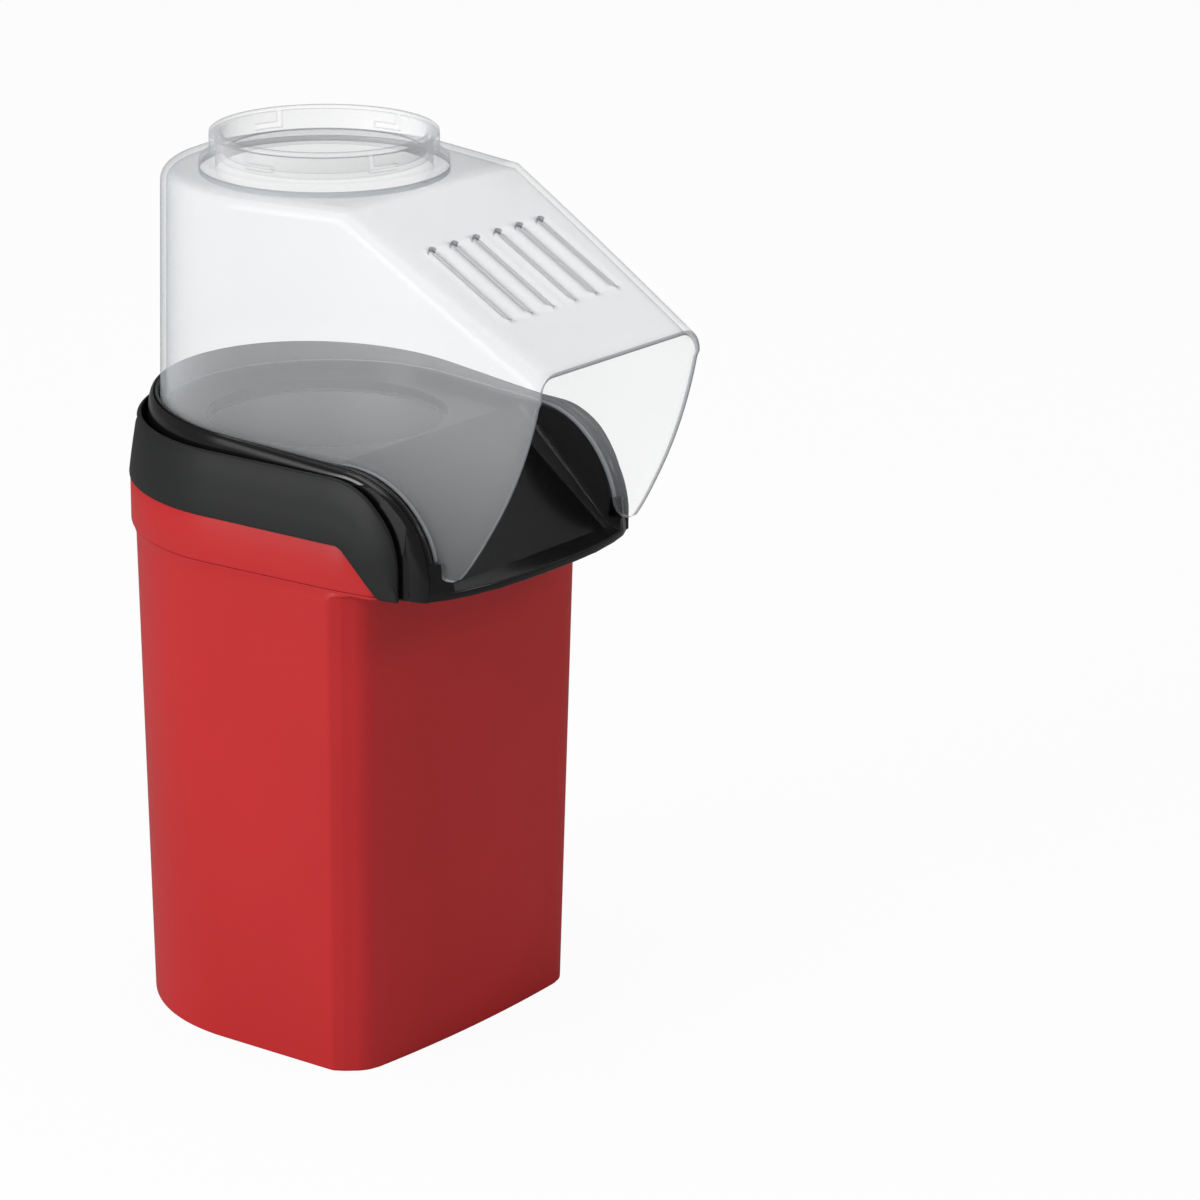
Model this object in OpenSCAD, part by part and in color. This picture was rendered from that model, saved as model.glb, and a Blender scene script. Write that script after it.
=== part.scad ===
// Hot-air popcorn maker: a drafted red body, a black collar with a chute tray,
// a clear hood that lifts off, and a measuring cap in the hood's neck.
// The origin is on the surface that it stands on, on the axis of the popping chamber.
// +Z is up, the chute faces -Y and +X is to the right of someone facing the chute. Millimetres.

/* [Body] */
// Radius of the round back at the foot of the body
body_r = 61; // [60:0.5:63]
// Half width at the front corners, at the foot
body_half = 57.9; // [57:0.1:59]
// From the axis to the middle of the front face, at the foot
body_front = 62.6; // [61:0.1:64]
// How far the front face bows out between its corners
front_crown = 2.6; // [0.5:0.1:4]
// Depth of the bevel along each front corner
corner_bevel = 8.8; // [6:0.2:10]
// Growth of the body's plan for each millimetre of height
draft = 0.0003; // [0.0001:0.0001:0.0005]
// Wall thickness of the body
body_wall = 2.4; // [2:0.1:3]
// Underside of the shoulder belt
belt_z = 168.5; // [166:0.5:169]
// Top of the shoulder belt, where the collar sits
rim_z = 184.5; // [182:0.5:186]

/* [Collar and chute] */
// Radius of the collar's round back at its lower edge
collar_r = 66; // [65.5:0.1:67]
// Height of the upper edge of the collar's outer face
collar_top = 205.6; // [204:0.2:207]
// Front of the arms' outer faces, from the axis
arm_front = 80.3; // [79:0.1:82]
// Radius of the bend in the arms' outer edge
arm_bend = 26.5; // [22:0.5:28]
// Underside of the arms and of the lip
lip_z = 169; // [168:0.5:170]
// Furthest point of the lip from the axis
lip_front = 96.2; // [94:0.2:98]
// Height of the deck around the chamber
deck_z = 204; // [203:0.5:205]
// Fall of the chute floor for each millimetre forwards
chute_fall = 0.733; // [0.65:0.01:0.8]
// Half width of the chute floor
chute_half = 40; // [38:0.5:41]

/* [Hood] */
// Radius of the hood's round back at its lower edge
hood_r = 55.2; // [54.8:0.1:55.4]
// Flat top of the hood
hood_top = 288.6; // [280:0.2:290]
// Front of the mouth at its top, from the axis
mouth_front = 124; // [118:0.5:126]
// Top of the mouth
mouth_top = 247; // [244:0.5:249]
// Half width of the mouth
mouth_half = 41; // [40:0.2:42]
// Wall thickness of the hood
hood_wall = 2; // [1.6:0.1:2.2]
// Number of air slots in the sloping roof
slot_count = 6; // [4:1:7]
// Top of the neck with the cap in it
total_height = 300; // [298:0.5:302]
// Outer radius of the neck
neck_r = 37.6; // [36:0.1:38]

/* [Chamber and heater] */
// Inner radius of the popping chamber
chamber_r = 40; // [39:0.1:40.3]
// Floor of the popping chamber
chamber_floor = 118; // [116:0.5:120]
// Number of hot-air louvres round the chamber's foot
louvre_count = 18; // [12:1:20]
// Radius of the heating coils
coil_r = 31; // [28:0.5:32]
// Number of heating coils
coil_count = 5; // [3:1:5]
// Number of fan blades
blade_count = 12; // [8:1:14]

/* [Hidden] */
$fn = 96;

gap = 0.2;                                   // between fixed mouldings
slip = 0.4;                                  // between the hood and what it lifts off
foot_h = 1;                                  // how far the feet stand proud
base_h = 3;                                  // thickness of the base plate
far = 150;                                   // reach of the cutting blocks

// Body plan, worked out from the driving sizes.
belt_r = collar_r - 0.4;
belt_half = body_half + 2.6;
belt_floor = 2;                              // thickness of the ledge under the cheeks
cheek_front = 73;                            // furthest point of the belt's cheeks
cheek_back = 59;                             // where the cheeks' sloping edge reaches the rim
cheek_gap = gap * (cheek_front - cheek_back) / (rim_z - lip_z);
boss_spots = [[47, -47], [-47, -47], [48, 22], [-48, 22]];
boss_h = 24;
foot_spots = [[36, -46], [-36, -46], [26, 44], [-26, 44]];
lug_spots = [[53, -28], [-53, -28], [39, 40], [-39, 40]];
lug_h = 6;
quarter_turns = [45:90:315];                 // where the fan housing's legs and posts stand

// Collar and tray.
collar_wall = 3;
collar_lean = 3.2;                           // how far the wall leans in over its height
flange_t = 2;                                // the collar's flange, held down by the tray
flange_front = 44;
band_half = 46;                              // the band's inner edge, which the hood rests on
band_bend = 34;
band_front = 87;
band_top = 206.5;
band_rise = 0.0594;                          // the band climbs towards the back
ledge_z = 206.8;
deck_t = 3;
chute_back = 41.5;                           // where the chute floor leaves the deck
chute_t = 3;
lip_t = 2.4;

// Hood.
fillet = 5;
crease_y = 46.5;                             // where the flat top meets the sloping roof
crease_half = 44.3;
roof_fall = (hood_top - mouth_top) / (mouth_front - crease_y);
roof_angle = atan(roof_fall);
roof_reach = 22;                             // the roof is carried on past the mouth, then cut
mouth_bend = 150;                            // radius of the mouth's edge seen from the side
mouth_centre = [23.6, 268.7];
tip_far = 30;                                // half widths carried on to the roof's reach
mouth_far = mouth_half - 3.2;
seat_half = 44.7;                            // half width of the seat, level with the tip
tip_centre = [-91.7, 180.9];
tip_r = 5.5;
tip_join = 165;                              // angle on the seat's bend at which the tip starts
ledge_r = 41;
ledge_h = 2.4;
neck_wall = 2;
slot_w = 3;
slot_len = 37.4;
slot_pitch = 10.7;
slot_mid = 84.9;
cap_wall = 1.5;
cap_rim = 1.4;
lug_angles = [0.3, 65.5, 180.3, 245.5];

// Chamber, duct, heater, fan and motor.
chamber_t = 0.8;
chamber_flange_r = 47;
flange_flat_y = 41.3;
gasket_t = 1.4;
flange_z = deck_z - deck_t - gasket_t;       // top of the chamber's flange
duct_r = 47.5;
duct_t = 0.9;
duct_z = 86;
duct_top = 152;
duct_flange_r = 54;
fan_floor = 56;
fan_floor_t = 2.5;
fan_wall_r = 38.5;
fan_wall_t = 2.5;
leg_r = 4;
leg_at = 46;
leg_spots = [for (a = quarter_turns) leg_at * [cos(a), sin(a)]];
post_at = 51;                                // the duct's screw posts, from the axis
screw_r = 1.2;
pilot_r = 1.3;
fan_r = 35;
fan_z = 62;
fan_h = 17;
shaft_r = 1.15;
shaft_fit = 0.05;
motor_r = 14;
motor_foot = 22;
motor_top = fan_floor - gap;
motor_screw_x = 8;
board_z = 11;
board_tab_y = 9;
coil_z = 91;
coil_pitch = 4.6;
coil_wire = 1.3;
mica_h = 25;
mica_t = 0.8;
mica_z = 85;
sleeve_r = 36;
sleeve_top = 112;

// Switch and cord gland, both in the back.
pad_y = 62.4;
switch_z = 42;
switch_cut = [13.2, 19.4];
rocker_off = 8;                              // the rocker's tilt at rest, in degrees
gland_z = 17;
gland_hole = 5;
gland_bore = 3.3;
gland_inner = 55.8;
gland_len = 8.2;

// Points of an arc about [cx, cy] from angle a0 to a1.
function arc(cx, cy, r, a0, a1, steps = 12) =
    [for (i = [0:steps]) let (a = a0 + (a1 - a0) * i / steps) [cx + r * cos(a), cy + r * sin(a)]];
function flip(points) = [for (i = [len(points) - 1:-1:0]) [-points[i][0], points[i][1]]];
// Angle at which the tangent from a point on the right meets a circle about the origin.
function tangent_angle(p, r) = atan2(p[1], p[0]) + acos(r / norm(p));

// A plan with a round back and straight sides; the points run down the right side to the front.
module plan(r, side) {
    start = tangent_angle(side[0], r);
    polygon(concat(flip(side), arc(0, 0, r, 180 - start, start, 72), side));
}

function front_bow(half, front, crown, bevel, steps = 6) =
    [for (i = [0:steps]) let (x = (half - bevel) * (1 - i / steps))
        [x, -front + crown * pow(x / half, 2)]];

module body_plan(inset = 0) {
    half = body_half - inset;
    side_end = [half, -(body_front - front_crown - corner_bevel) + inset * 0.4];
    plan(body_r - inset, concat([side_end],
         front_bow(half, body_front - inset, front_crown, corner_bevel - inset * 0.2)));
}

module belt_plan(inset = 0) {
    half = belt_half - inset;
    plan(belt_r - inset, [[half, -56], [half - 2.5, -67 + inset * 0.5],
         [half - 7, -cheek_front + inset], [0, -cheek_front + inset]]);
}

// The collar's plan: straight sides that close in towards the arms' fronts.
module collar_plan(inset = 0) {
    plan(collar_r - inset, [[62.4 - inset, -56], [60.3 - inset, -71], [55.5 - inset, -86.4],
                            [0, -86.4]]);
}

// The tray's plan, which has the same sides and rounded front corners.
module band_plan(inset = 0) {
    plan(collar_r - inset, [[62.4 - inset, -56], [60.3 - inset, -71],
         [57.4 - inset, -arm_front], [54.8 - inset, -84.2], [51.3 - inset, -86.8]]);
}

// The inner edge of the collar's flange, and everything outside it.
module flange_plan(inner) {
    intersection() {
        translate([-far, -flange_front]) square([2 * far, 2 * far]);
        difference() {
            plan(collar_r - 1.5, [[61, -60], [0, -60]]);
            plan(collar_r - inner, [[55, -60], [0, -60]]);
        }
    }
}

// Profiles are drawn as [y, z] and extruded along X, centred on the middle plane.
module across(width) {
    translate([-width / 2, 0, 0]) rotate([90, 0, 90]) linear_extrude(width) children();
}

// Side view of the collar: level rim, sloping edge to the lip, straight front, round bend.
module arm_profile(front, bend, top, rise = 0) {
    back = 80;
    polygon(concat(
        [[back, rim_z], [-cheek_back, rim_z], [-cheek_front, lip_z], [-front, lip_z]],
        arc(-front + bend, top - bend, bend, 180, 90, 16),
        [[back, top + rise * (back + front - bend)]]));
}

module belt_profile() {
    polygon([[80, belt_z - 1], [-cheek_front + cheek_gap, belt_z - 1],
             [-cheek_front + cheek_gap, lip_z], [-cheek_back + cheek_gap, rim_z], [80, rim_z + 1]]);
}

// ---- Red body ----

module drafted(z0, z1, inset = 0) {
    s0 = 1 + draft * z0;
    s1 = 1 + draft * z1;
    translate([0, 0, z0]) linear_extrude(z1 - z0, scale = s1 / s0) scale([s0, s0]) body_plan(inset);
}

module housing() color([0.76, 0.17, 0.17]) {
    difference() {
        union() {
            drafted(foot_h, belt_z + 1);
            intersection() {
                translate([0, 0, belt_z]) linear_extrude(rim_z - belt_z) belt_plan();
                across(far) belt_profile();
            }
            translate([-13, 52, switch_z - 16]) cube([26, pad_y - 52, 32]);
        }
        drafted(foot_h - 0.5, belt_z + belt_floor + 1, body_wall);
        intersection() {
            translate([0, 0, belt_z + belt_floor]) linear_extrude(40) belt_plan(body_wall);
            translate([0, 3, 0]) across(far) belt_profile();
        }
        translate([-switch_cut[0] / 2, 40, switch_z - switch_cut[1] / 2])
            cube([switch_cut[0], 40, switch_cut[1]]);
        translate([0, 0, gland_z]) rotate([-90, 0, 0]) cylinder(r = gland_hole, h = far);
    }
    for (p = boss_spots) housing_boss(p);
    for (p = lug_spots) housing_lug(p);
}

// A post for one base screw, tied to the wall.
module housing_boss(p) {
    reach = p[1] > 0 ? 7.2 : 9.5;
    translate([p[0], p[1], foot_h + base_h]) difference() {
        union() {
            cylinder(r = 4, h = boss_h);
            rotate([0, 0, atan2(p[1], p[0])]) translate([0, -1.2, 0]) cube([reach, 2.4, boss_h]);
        }
        translate([0, 0, -1]) cylinder(r = pilot_r, h = 15);
    }
}

// A shelf under the rim with a hole for one tray screw.
module housing_lug(p) {
    turn = p[1] > 0 ? atan2(p[1], p[0]) : (p[0] > 0 ? 0 : 180);
    translate([p[0], p[1], rim_z - gap - lug_h]) rotate([0, 0, turn]) difference() {
        union() {
            cylinder(r = 4.5, h = lug_h);
            translate([0, -3.4, 0.5]) cube([8.6, 6.8, lug_h - 1]);
        }
        translate([0, 0, -1]) cylinder(r = 1.7, h = lug_h + 2);
    }
}

module base_plate() color([0.72, 0.15, 0.15]) {
    difference() {
        translate([0, 0, foot_h]) linear_extrude(base_h) body_plan(body_wall + gap);
        for (ring = [12:8:36], a = [0:30:330])
            rotate([0, 0, a + ring]) translate([ring, 0, 0]) cube([5, 2.6, 20], center = true);
        for (p = concat(boss_spots, leg_spots)) translate([p[0], p[1], 0]) {
            cylinder(r = 1.7, h = 10);
            cylinder(r = 3.2, h = foot_h + 1.6);
        }
        for (p = foot_spots) translate([p[0], p[1], -1]) cylinder(r = 5, h = foot_h + 2);
    }
}

module rubber_feet() color([0.08, 0.08, 0.08])
    for (p = foot_spots) translate([p[0], p[1], 0]) {
        cylinder(r1 = 4.2, r2 = 4.8, h = foot_h);
        translate([0, 0, foot_h]) cylinder(r = 4.8, h = 1);
    }

// One pan-head screw standing on its head.
module screw(r, head_r, head_h, length) {
    difference() {
        union() {
            cylinder(r = head_r, h = head_h);
            cylinder(r = r, h = length);
        }
        for (a = [0, 90]) rotate([0, 0, a]) cube([head_r * 1.2, 0.7, head_h], center = true);
    }
}

module base_screws() color([0.6, 0.6, 0.62])
    for (p = boss_spots) translate([p[0], p[1], foot_h + 0.2]) screw(screw_r, 2.8, 1.4, 14);

// ---- Black collar and chute tray ----

// The collar's form: upright below the rim and leaning in above it, carried on past its top by over.
module collar_block(inset = 0, over = 0) {
    height = collar_top - rim_z + over;
    lean = collar_lean / collar_r * height / (collar_top - rim_z);
    translate([0, 0, lip_z - 5]) linear_extrude(rim_z - lip_z + 5) collar_plan(inset);
    translate([0, 0, rim_z]) linear_extrude(height, scale = 1 - lean) collar_plan(inset);
}

module collar() color([0.17, 0.17, 0.18]) {
    difference() {
        intersection() {
            collar_block();
            across(far) arm_profile(arm_front, arm_bend, collar_top);
        }
        collar_block(collar_wall, 2);
        translate([-51, -far, 0]) cube([102, far - 50, far * 2]);
    }
    translate([0, 0, rim_z]) linear_extrude(flange_t) flange_plan(6);
}

// Outline of the hood's lower edge in plan, grown by a margin.
module hood_plan(grow = 0) {
    plan(hood_r + grow, [[seat_half + grow, tip_centre[0]], [0, tip_centre[0]]]);
}

// The tray's outside: band, arms and lip as one smooth form.
module tray_block() {
    inner = collar_wall + gap;
    intersection() {
        hull($fn = 64) {
            translate([0, 0, 150]) linear_extrude(collar_top - 150 - 2)
                band_plan(inner + collar_lean + 0.2);
            translate([0, 0, 150]) linear_extrude(rim_z - 150) band_plan(inner);
            translate([0, -52, band_top + 0.3]) rotate([atan(band_rise), 0, 0])
                translate([0, 52, -0.1]) linear_extrude(0.1)
                plan(hood_r + 1.6, [[band_half + 2, -59], [0, -59]]);
            across(2 * band_half + 2) intersection() {
                arm_profile(band_front, band_bend, band_top);
                translate([-far, 0]) square([far - 40, far * 2]);
            }
            translate([0, 0, lip_z]) linear_extrude(lip_t) lip_plan();
        }
        union() {
            across(far) arm_profile(band_front, band_bend, band_top, band_rise * 1.4);
            translate([0, 0, lip_z]) linear_extrude(12) translate([-far, -far])
                square([2 * far, far - cheek_front]);
        }
    }
}

module lip_plan() {
    points = [[51, -60], [51, -87], [44, -90.8], [36, -93.2], [24, -95.4], [0, -lip_front]];
    polygon(concat(points, flip(points)));
}

function chute_z(y) = deck_z - chute_fall * (-y - chute_back);

// The channel that the popcorn slides down: narrow at its floor, wide at the band, and level over
// the lip.
module chute_cut() {
    intersection() {
        hull() for (y = [-chute_back, -110]) translate([0, y, 0]) {
            translate([-chute_half, -0.01, chute_z(y)]) cube([2 * chute_half, 0.02, 0.1]);
            translate([-band_half, -0.01, band_top]) cube([2 * band_half, 0.02, 30]);
        }
        translate([-far, -far, lip_z + lip_t]) cube(2 * far);
    }
}

module chute_tray() color([0.1, 0.1, 0.11])
    difference() {
        tray_block();
        // channel and deck
        chute_cut();
        translate([0, 0, deck_z]) linear_extrude(40)
            plan(hood_r - 4.2, [[band_half - 0.5, -44], [0, -44]]);
        // seat that the hood's edge drops into
        translate([0, 0, ledge_z]) linear_extrude(40) hood_plan(0.5);
        // room for the hood's tips
        translate([-seat_half, -far, tip_centre[1] - tip_r - slip])
            cube([2 * seat_half, far + tip_centre[0] + tip_r + slip, 30]);
        // chamber opening
        cylinder(r = chamber_r, h = far * 2);
        // hollow underneath, round the screw posts
        difference() {
            intersection() {
                translate([0, 0, 100]) linear_extrude(deck_z - deck_t - 100)
                    plan(collar_r - 9, [[54, -56], [50, -70], [40, -90], [0, -92.5]]);
                union() {
                    translate([-far, -chute_back, 0]) cube([2 * far, far, far * 2]);
                    across(2 * chute_half + 4) polygon([[0, 0], [0, deck_z],
                        [-chute_back, deck_z - chute_t - 0.6],
                        [-92.4, chute_z(-92.4) - chute_t - 0.6], [-92.4, 0]]);
                }
            }
            for (p = lug_spots) translate([p[0], p[1], 0]) cylinder(r = 4, h = far * 2);
        }
        for (p = lug_spots) translate([p[0], p[1], 0]) cylinder(r = pilot_r, h = rim_z + 9);
        // rebate over the collar's flange
        translate([0, 0, rim_z - 1]) linear_extrude(flange_t + gap + 1) flange_plan(6 + gap);
    }

module tray_screws() color([0.6, 0.6, 0.62])
    for (p = lug_spots) translate([p[0], p[1], rim_z - gap - lug_h - 1.4]) screw(screw_r, 2.8, 1.4, 15);

// ---- Clear hood and measuring cap ----

// The hood's convex form, taken in on every side by inset.
module hood_form(inset = 0) {
    reach = mouth_front + roof_reach;
    corner = 8;
    hull($fn = 48) {
        translate([0, 0, 160]) cylinder(r1 = hood_r + 1 - inset, r2 = 53.6 - inset,
                                        h = hood_top - fillet - 160, $fn = 96);
        translate([0, 0, hood_top - 2]) cylinder(r = 52 - inset, h = 0.5, $fn = 96);
        translate([0, 0, hood_top - inset - 0.1]) cylinder(r = 48.6, h = 0.1, $fn = 96);
        for (side = [-1, 1]) {
            translate([side * (crease_half - fillet), -crease_y + 2, hood_top - fillet])
                sphere(r = fillet - inset, $fn = 32);
            translate([side * (mouth_far - corner), -reach,
                       hood_top - roof_fall * (reach - crease_y) - corner / cos(roof_angle)])
                sphere(r = corner - inset, $fn = 32);
        }
        translate([-tip_far + inset, -reach, 150]) cube([2 * (tip_far - inset), 1, 1]);
    }
}

// Side view of the hood: seat edge, round the bend to the tip, up the mouth's edge and back.
module hood_profile() {
    bend = band_bend + slip;
    polygon(concat(
        [[80, ledge_z + 0.1]],
        arc(-band_front + band_bend, band_top - band_bend, bend, 90, tip_join, 16),
        arc(tip_centre[0], tip_centre[1], tip_r, 0, -143, 8),
        arc(mouth_centre[0], mouth_centre[1], mouth_bend, 217, 188, 12),
        [[-mouth_front - 2, 310], [80, 310]]));
}

module roof_slots() {
    translate([0, -slot_mid, hood_top - roof_fall * (slot_mid - crease_y)])
        rotate([roof_angle, 0, 0])
        for (i = [0:slot_count - 1]) translate([(i - (slot_count - 1) / 2) * slot_pitch, 0, -6]) {
            straight = slot_len - slot_w;
            translate([-slot_w / 2, -straight / 2, 0]) cube([slot_w, straight, 12]);
            for (end = [-1, 1]) translate([0, end * straight / 2, 0])
                cylinder(r = slot_w / 2, h = 12, $fn = 24);
        }
}

module hood() color([0.86, 0.9, 0.92, 0.4])
    difference() {
        union() {
            intersection() {
                hood_form();
                across(far) hood_profile();
            }
            translate([0, 0, hood_top - 1]) cylinder(r = ledge_r, h = ledge_h + 1);
            translate([0, 0, hood_top - 1]) cylinder(r = neck_r, h = total_height - cap_rim
                                                                     - hood_top + 1);
        }
        hood_form(hood_wall);
        translate([0, 0, hood_top - 9]) cylinder(r = neck_r - neck_wall, h = far);
        roof_slots();
        for (a = lug_angles) rotate([0, 0, a]) bayonet_slot();
    }

module cylinder_ring(outer, inner, z0, z1) {
    translate([0, 0, z0]) difference() {
        cylinder(r = outer, h = z1 - z0);
        translate([0, 0, -1]) cylinder(r = inner, h = z1 - z0 + 2);
    }
}

// An L-shaped slot in the neck, open at the rim.
module bayonet_slot() {
    foot = total_height - 7;
    translate([neck_r - neck_wall - 1, -1.3, foot]) cube([neck_wall + 2, 2.6, 10]);
    intersection() {
        cylinder_ring(neck_r + 1, neck_r - neck_wall - 1, foot, foot + 2);
        translate([0, 0, foot]) linear_extrude(2)
            polygon([[0, 0], [60, 0], [60, 60 * tan(14)]]);
    }
}

module measuring_cap() color([0.88, 0.92, 0.94, 0.4]) {
    outer = neck_r - neck_wall - slip;
    rim_foot = total_height - cap_rim;
    floor_z = hood_top - 0.6;
    cylinder_ring(outer, outer - cap_wall, floor_z, total_height);
    cylinder_ring(neck_r, outer - cap_wall, rim_foot, total_height);
    translate([0, 0, floor_z]) cylinder(r = outer, h = cap_wall);
    for (a = lug_angles) rotate([0, 0, a])
        translate([outer - 0.5, -0.8, total_height - 6.6]) cube([1.6, 1.6, 1.6]);
}

// ---- Popping chamber and hot-air path ----

// Flat that clears the chute floor, across the front of the chamber's flange.
module flange_flat() translate([-far, -far, flange_z - 5]) cube([2 * far, far - flange_flat_y, 20]);

module popping_chamber() color([0.78, 0.79, 0.8])
    difference() {
        rotate_extrude() polygon(concat(
            [[0, chamber_floor + 4], [14, chamber_floor + 1.2]],
            arc(chamber_r - 5, chamber_floor + 5 + chamber_t, 5, 270, 360, 6),
            [[chamber_r, flange_z], [chamber_flange_r, flange_z],
             [chamber_flange_r, flange_z - chamber_t], [chamber_r + chamber_t, flange_z - chamber_t]],
            arc(chamber_r - 5, chamber_floor + 5 + chamber_t, 5 + chamber_t, 360, 270, 6),
            [[14, chamber_floor + 1.2 - chamber_t], [0, chamber_floor + 4 - chamber_t]]));
        for (i = [0:louvre_count - 1]) rotate([0, 0, i * 360 / louvre_count])
            translate([chamber_r + 0.4, 0, chamber_floor + 16]) rotate([35, 0, 0])
                cube([4, 2.2, 14], center = true);
        flange_flat();
    }

module chamber_gasket() color([0.75, 0.72, 0.66])
    difference() {
        cylinder_ring(chamber_flange_r, chamber_r + 0.4, flange_z, deck_z - deck_t);
        flange_flat();
    }

module air_duct() color([0.68, 0.69, 0.7])
    difference() {
        union() {
            cylinder_ring(duct_r + duct_t, duct_r, duct_z + 1.2, duct_top);
            cylinder_ring(duct_r + duct_t, chamber_r + chamber_t + gap, duct_top, duct_top + duct_t);
            cylinder_ring(duct_flange_r, duct_r, duct_z + 1.2, duct_z + 2.4);
        }
        for (a = quarter_turns) rotate([0, 0, a]) translate([post_at, 0, 0])
            cylinder(r = 1.7, h = far);
    }

module duct_screws() color([0.6, 0.6, 0.62])
    for (a = quarter_turns) rotate([0, 0, a]) translate([post_at, 0, duct_z + 4])
        mirror([0, 0, 1]) screw(screw_r, 2.6, 1.4, 9);

module fan_housing() color([0.13, 0.13, 0.14])
    difference() {
        union() {
            cylinder_ring(fan_wall_r + fan_wall_t, fan_wall_r, fan_floor, duct_z);
            translate([0, 0, fan_floor]) cylinder(r = fan_wall_r + fan_wall_t, h = fan_floor_t);
            cylinder_ring(duct_flange_r, fan_wall_r, duct_z - 1.8, duct_z + 1.2);
            for (a = quarter_turns) rotate([0, 0, a]) {
                translate([post_at, 0, duct_z - 12]) cylinder(r = 2.8, h = 12);
                translate([leg_at, 0, foot_h + base_h]) cylinder(r = leg_r, h = duct_z - 18);
                translate([fan_wall_r, -1.5, fan_floor]) cube([leg_at - fan_wall_r, 3, 14]);
            }
        }
        // air intake between the spokes
        difference() {
            translate([0, 0, fan_floor - 1]) cylinder_ring(30, 17, 0, fan_floor_t + 2);
            for (a = [0:120:240]) rotate([0, 0, a + 30]) translate([23, 0, fan_floor])
                cube([20, 6, 12], center = true);
        }
        translate([0, 0, fan_floor - 1]) cylinder(r = 4, h = 10);
        for (side = [-1, 1]) translate([side * motor_screw_x, 0, fan_floor - 1])
            cylinder(r = 1.4, h = 10);
        for (a = quarter_turns) rotate([0, 0, a]) {
            translate([post_at, 0, duct_z - 8]) cylinder(r = pilot_r, h = 20);
            translate([leg_at, 0, 0]) cylinder(r = pilot_r, h = 18);
        }
    }

module fan_housing_screws() color([0.6, 0.6, 0.62])
    for (p = leg_spots) translate([p[0], p[1], foot_h + 0.2]) screw(screw_r, 2.8, 1.4, 14);

module heater_sleeve() color([0.62, 0.62, 0.6]) {
    cylinder_ring(sleeve_r + 0.8, sleeve_r, duct_z + 1.4, sleeve_top);
    cylinder_ring(fan_wall_r - gap, sleeve_r, duct_z - 1, duct_z + 1.4);
}

// Two slotted boards that cross on the axis and carry the coils in notches.
module mica_board(slot_up) {
    difference() {
        translate([gap - sleeve_r, -mica_t / 2, mica_z])
            cube([2 * (sleeve_r - gap), mica_t, mica_h]);
        translate([-mica_t / 2 - 0.1, -2, slot_up ? mica_z + mica_h / 2 - 0.1 : mica_z - 1])
            cube([mica_t + 0.2, 4, mica_h / 2 + 1.1]);
        for (i = [0:coil_count - 1], side = [-1, 1])
            translate([side * coil_r, 0, coil_z + i * coil_pitch]) rotate([90, 0, 0])
                cylinder(r = coil_wire + 0.3, h = 4, center = true, $fn = 24);
    }
}

module mica_boards() color([0.72, 0.64, 0.45]) {
    mica_board(true);
    rotate([0, 0, 90]) mica_board(false);
}

module heater_coils() color([0.55, 0.5, 0.48])
    for (i = [0:coil_count - 1]) translate([0, 0, coil_z + i * coil_pitch])
        rotate_extrude() translate([coil_r, 0]) circle(coil_wire, $fn = 24);

module thermostat() color([0.5, 0.5, 0.52])
    translate([0, chamber_r + chamber_t + 0.2, 172]) rotate([-90, 0, 0]) {
        cylinder(r = 8, h = 5.5);
        for (side = [-1, 1]) translate([side * 4 - 1.5, -0.4, 5.5]) cube([3, 0.8, 7]);
    }

module thermal_fuse() color([0.85, 0.83, 0.75])
    translate([0, -duct_r - duct_t - 2.4, 120]) rotate([0, 90, 0]) {
        translate([0, 0, -6]) cylinder(r = 2.1, h = 12);
        translate([0, 0, -13]) cylinder(r = 0.5, h = 26, $fn = 24);
    }

// ---- Fan and motor ----

module fan_impeller() color([0.15, 0.15, 0.16])
    difference() {
        union() {
            translate([0, 0, fan_z + fan_h - 1.4]) cylinder(r = fan_r, h = 1.4);
            translate([0, 0, fan_z]) cylinder(r = 6, h = fan_h);
            for (i = [0:blade_count - 1]) rotate([0, 0, i * 360 / blade_count])
                translate([14, 0, fan_z]) rotate([0, 0, 28]) cube([21, 1.2, fan_h]);
        }
        translate([0, 0, fan_z - 1]) cylinder(r = shaft_r, h = fan_h - 2);
        difference() {
            translate([0, 0, fan_z - 1]) cylinder(r = far, h = far);
            translate([0, 0, fan_z - 2]) cylinder(r = fan_r, h = far);
        }
    }

module motor_shaft() color([0.75, 0.75, 0.77])
    translate([0, 0, 15]) cylinder(r = shaft_r, h = fan_z + fan_h - 5 - 15);

module armature() color([0.6, 0.36, 0.2])
    translate([0, 0, 27]) difference() {
        union() {
            cylinder(r = 3.4, h = 24);
            translate([0, 0, 3]) cylinder(r = 9.2, h = 16);
        }
        for (a = [0:120:240]) rotate([0, 0, a]) translate([4.5, -1.4, -1]) cube([10, 2.8, 30]);
        translate([0, 0, -1]) cylinder(r = shaft_r, h = 30);
    }

module motor_can() color([0.7, 0.7, 0.72])
    difference() {
        translate([0, 0, motor_foot]) cylinder(r = motor_r, h = motor_top - motor_foot);
        translate([0, 0, motor_foot - 1]) cylinder(r = motor_r - 1, h = motor_top - motor_foot);
        translate([0, 0, 40]) cylinder(r = shaft_r + shaft_fit, h = 30);
        for (side = [-1, 1]) translate([side * motor_screw_x, 0, 40]) cylinder(r = 1.1, h = 30);
    }

module motor_magnets() color([0.25, 0.25, 0.27])
    for (turn = [0, 180]) rotate([0, 0, turn]) intersection() {
        cylinder_ring(motor_r - 1 - gap, 10, 27, 50);
        translate([0, 0, 20]) linear_extrude(40)
            polygon([[0, 0], [30, -30 * tan(55)], [30, 30 * tan(55)]]);
    }

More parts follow.
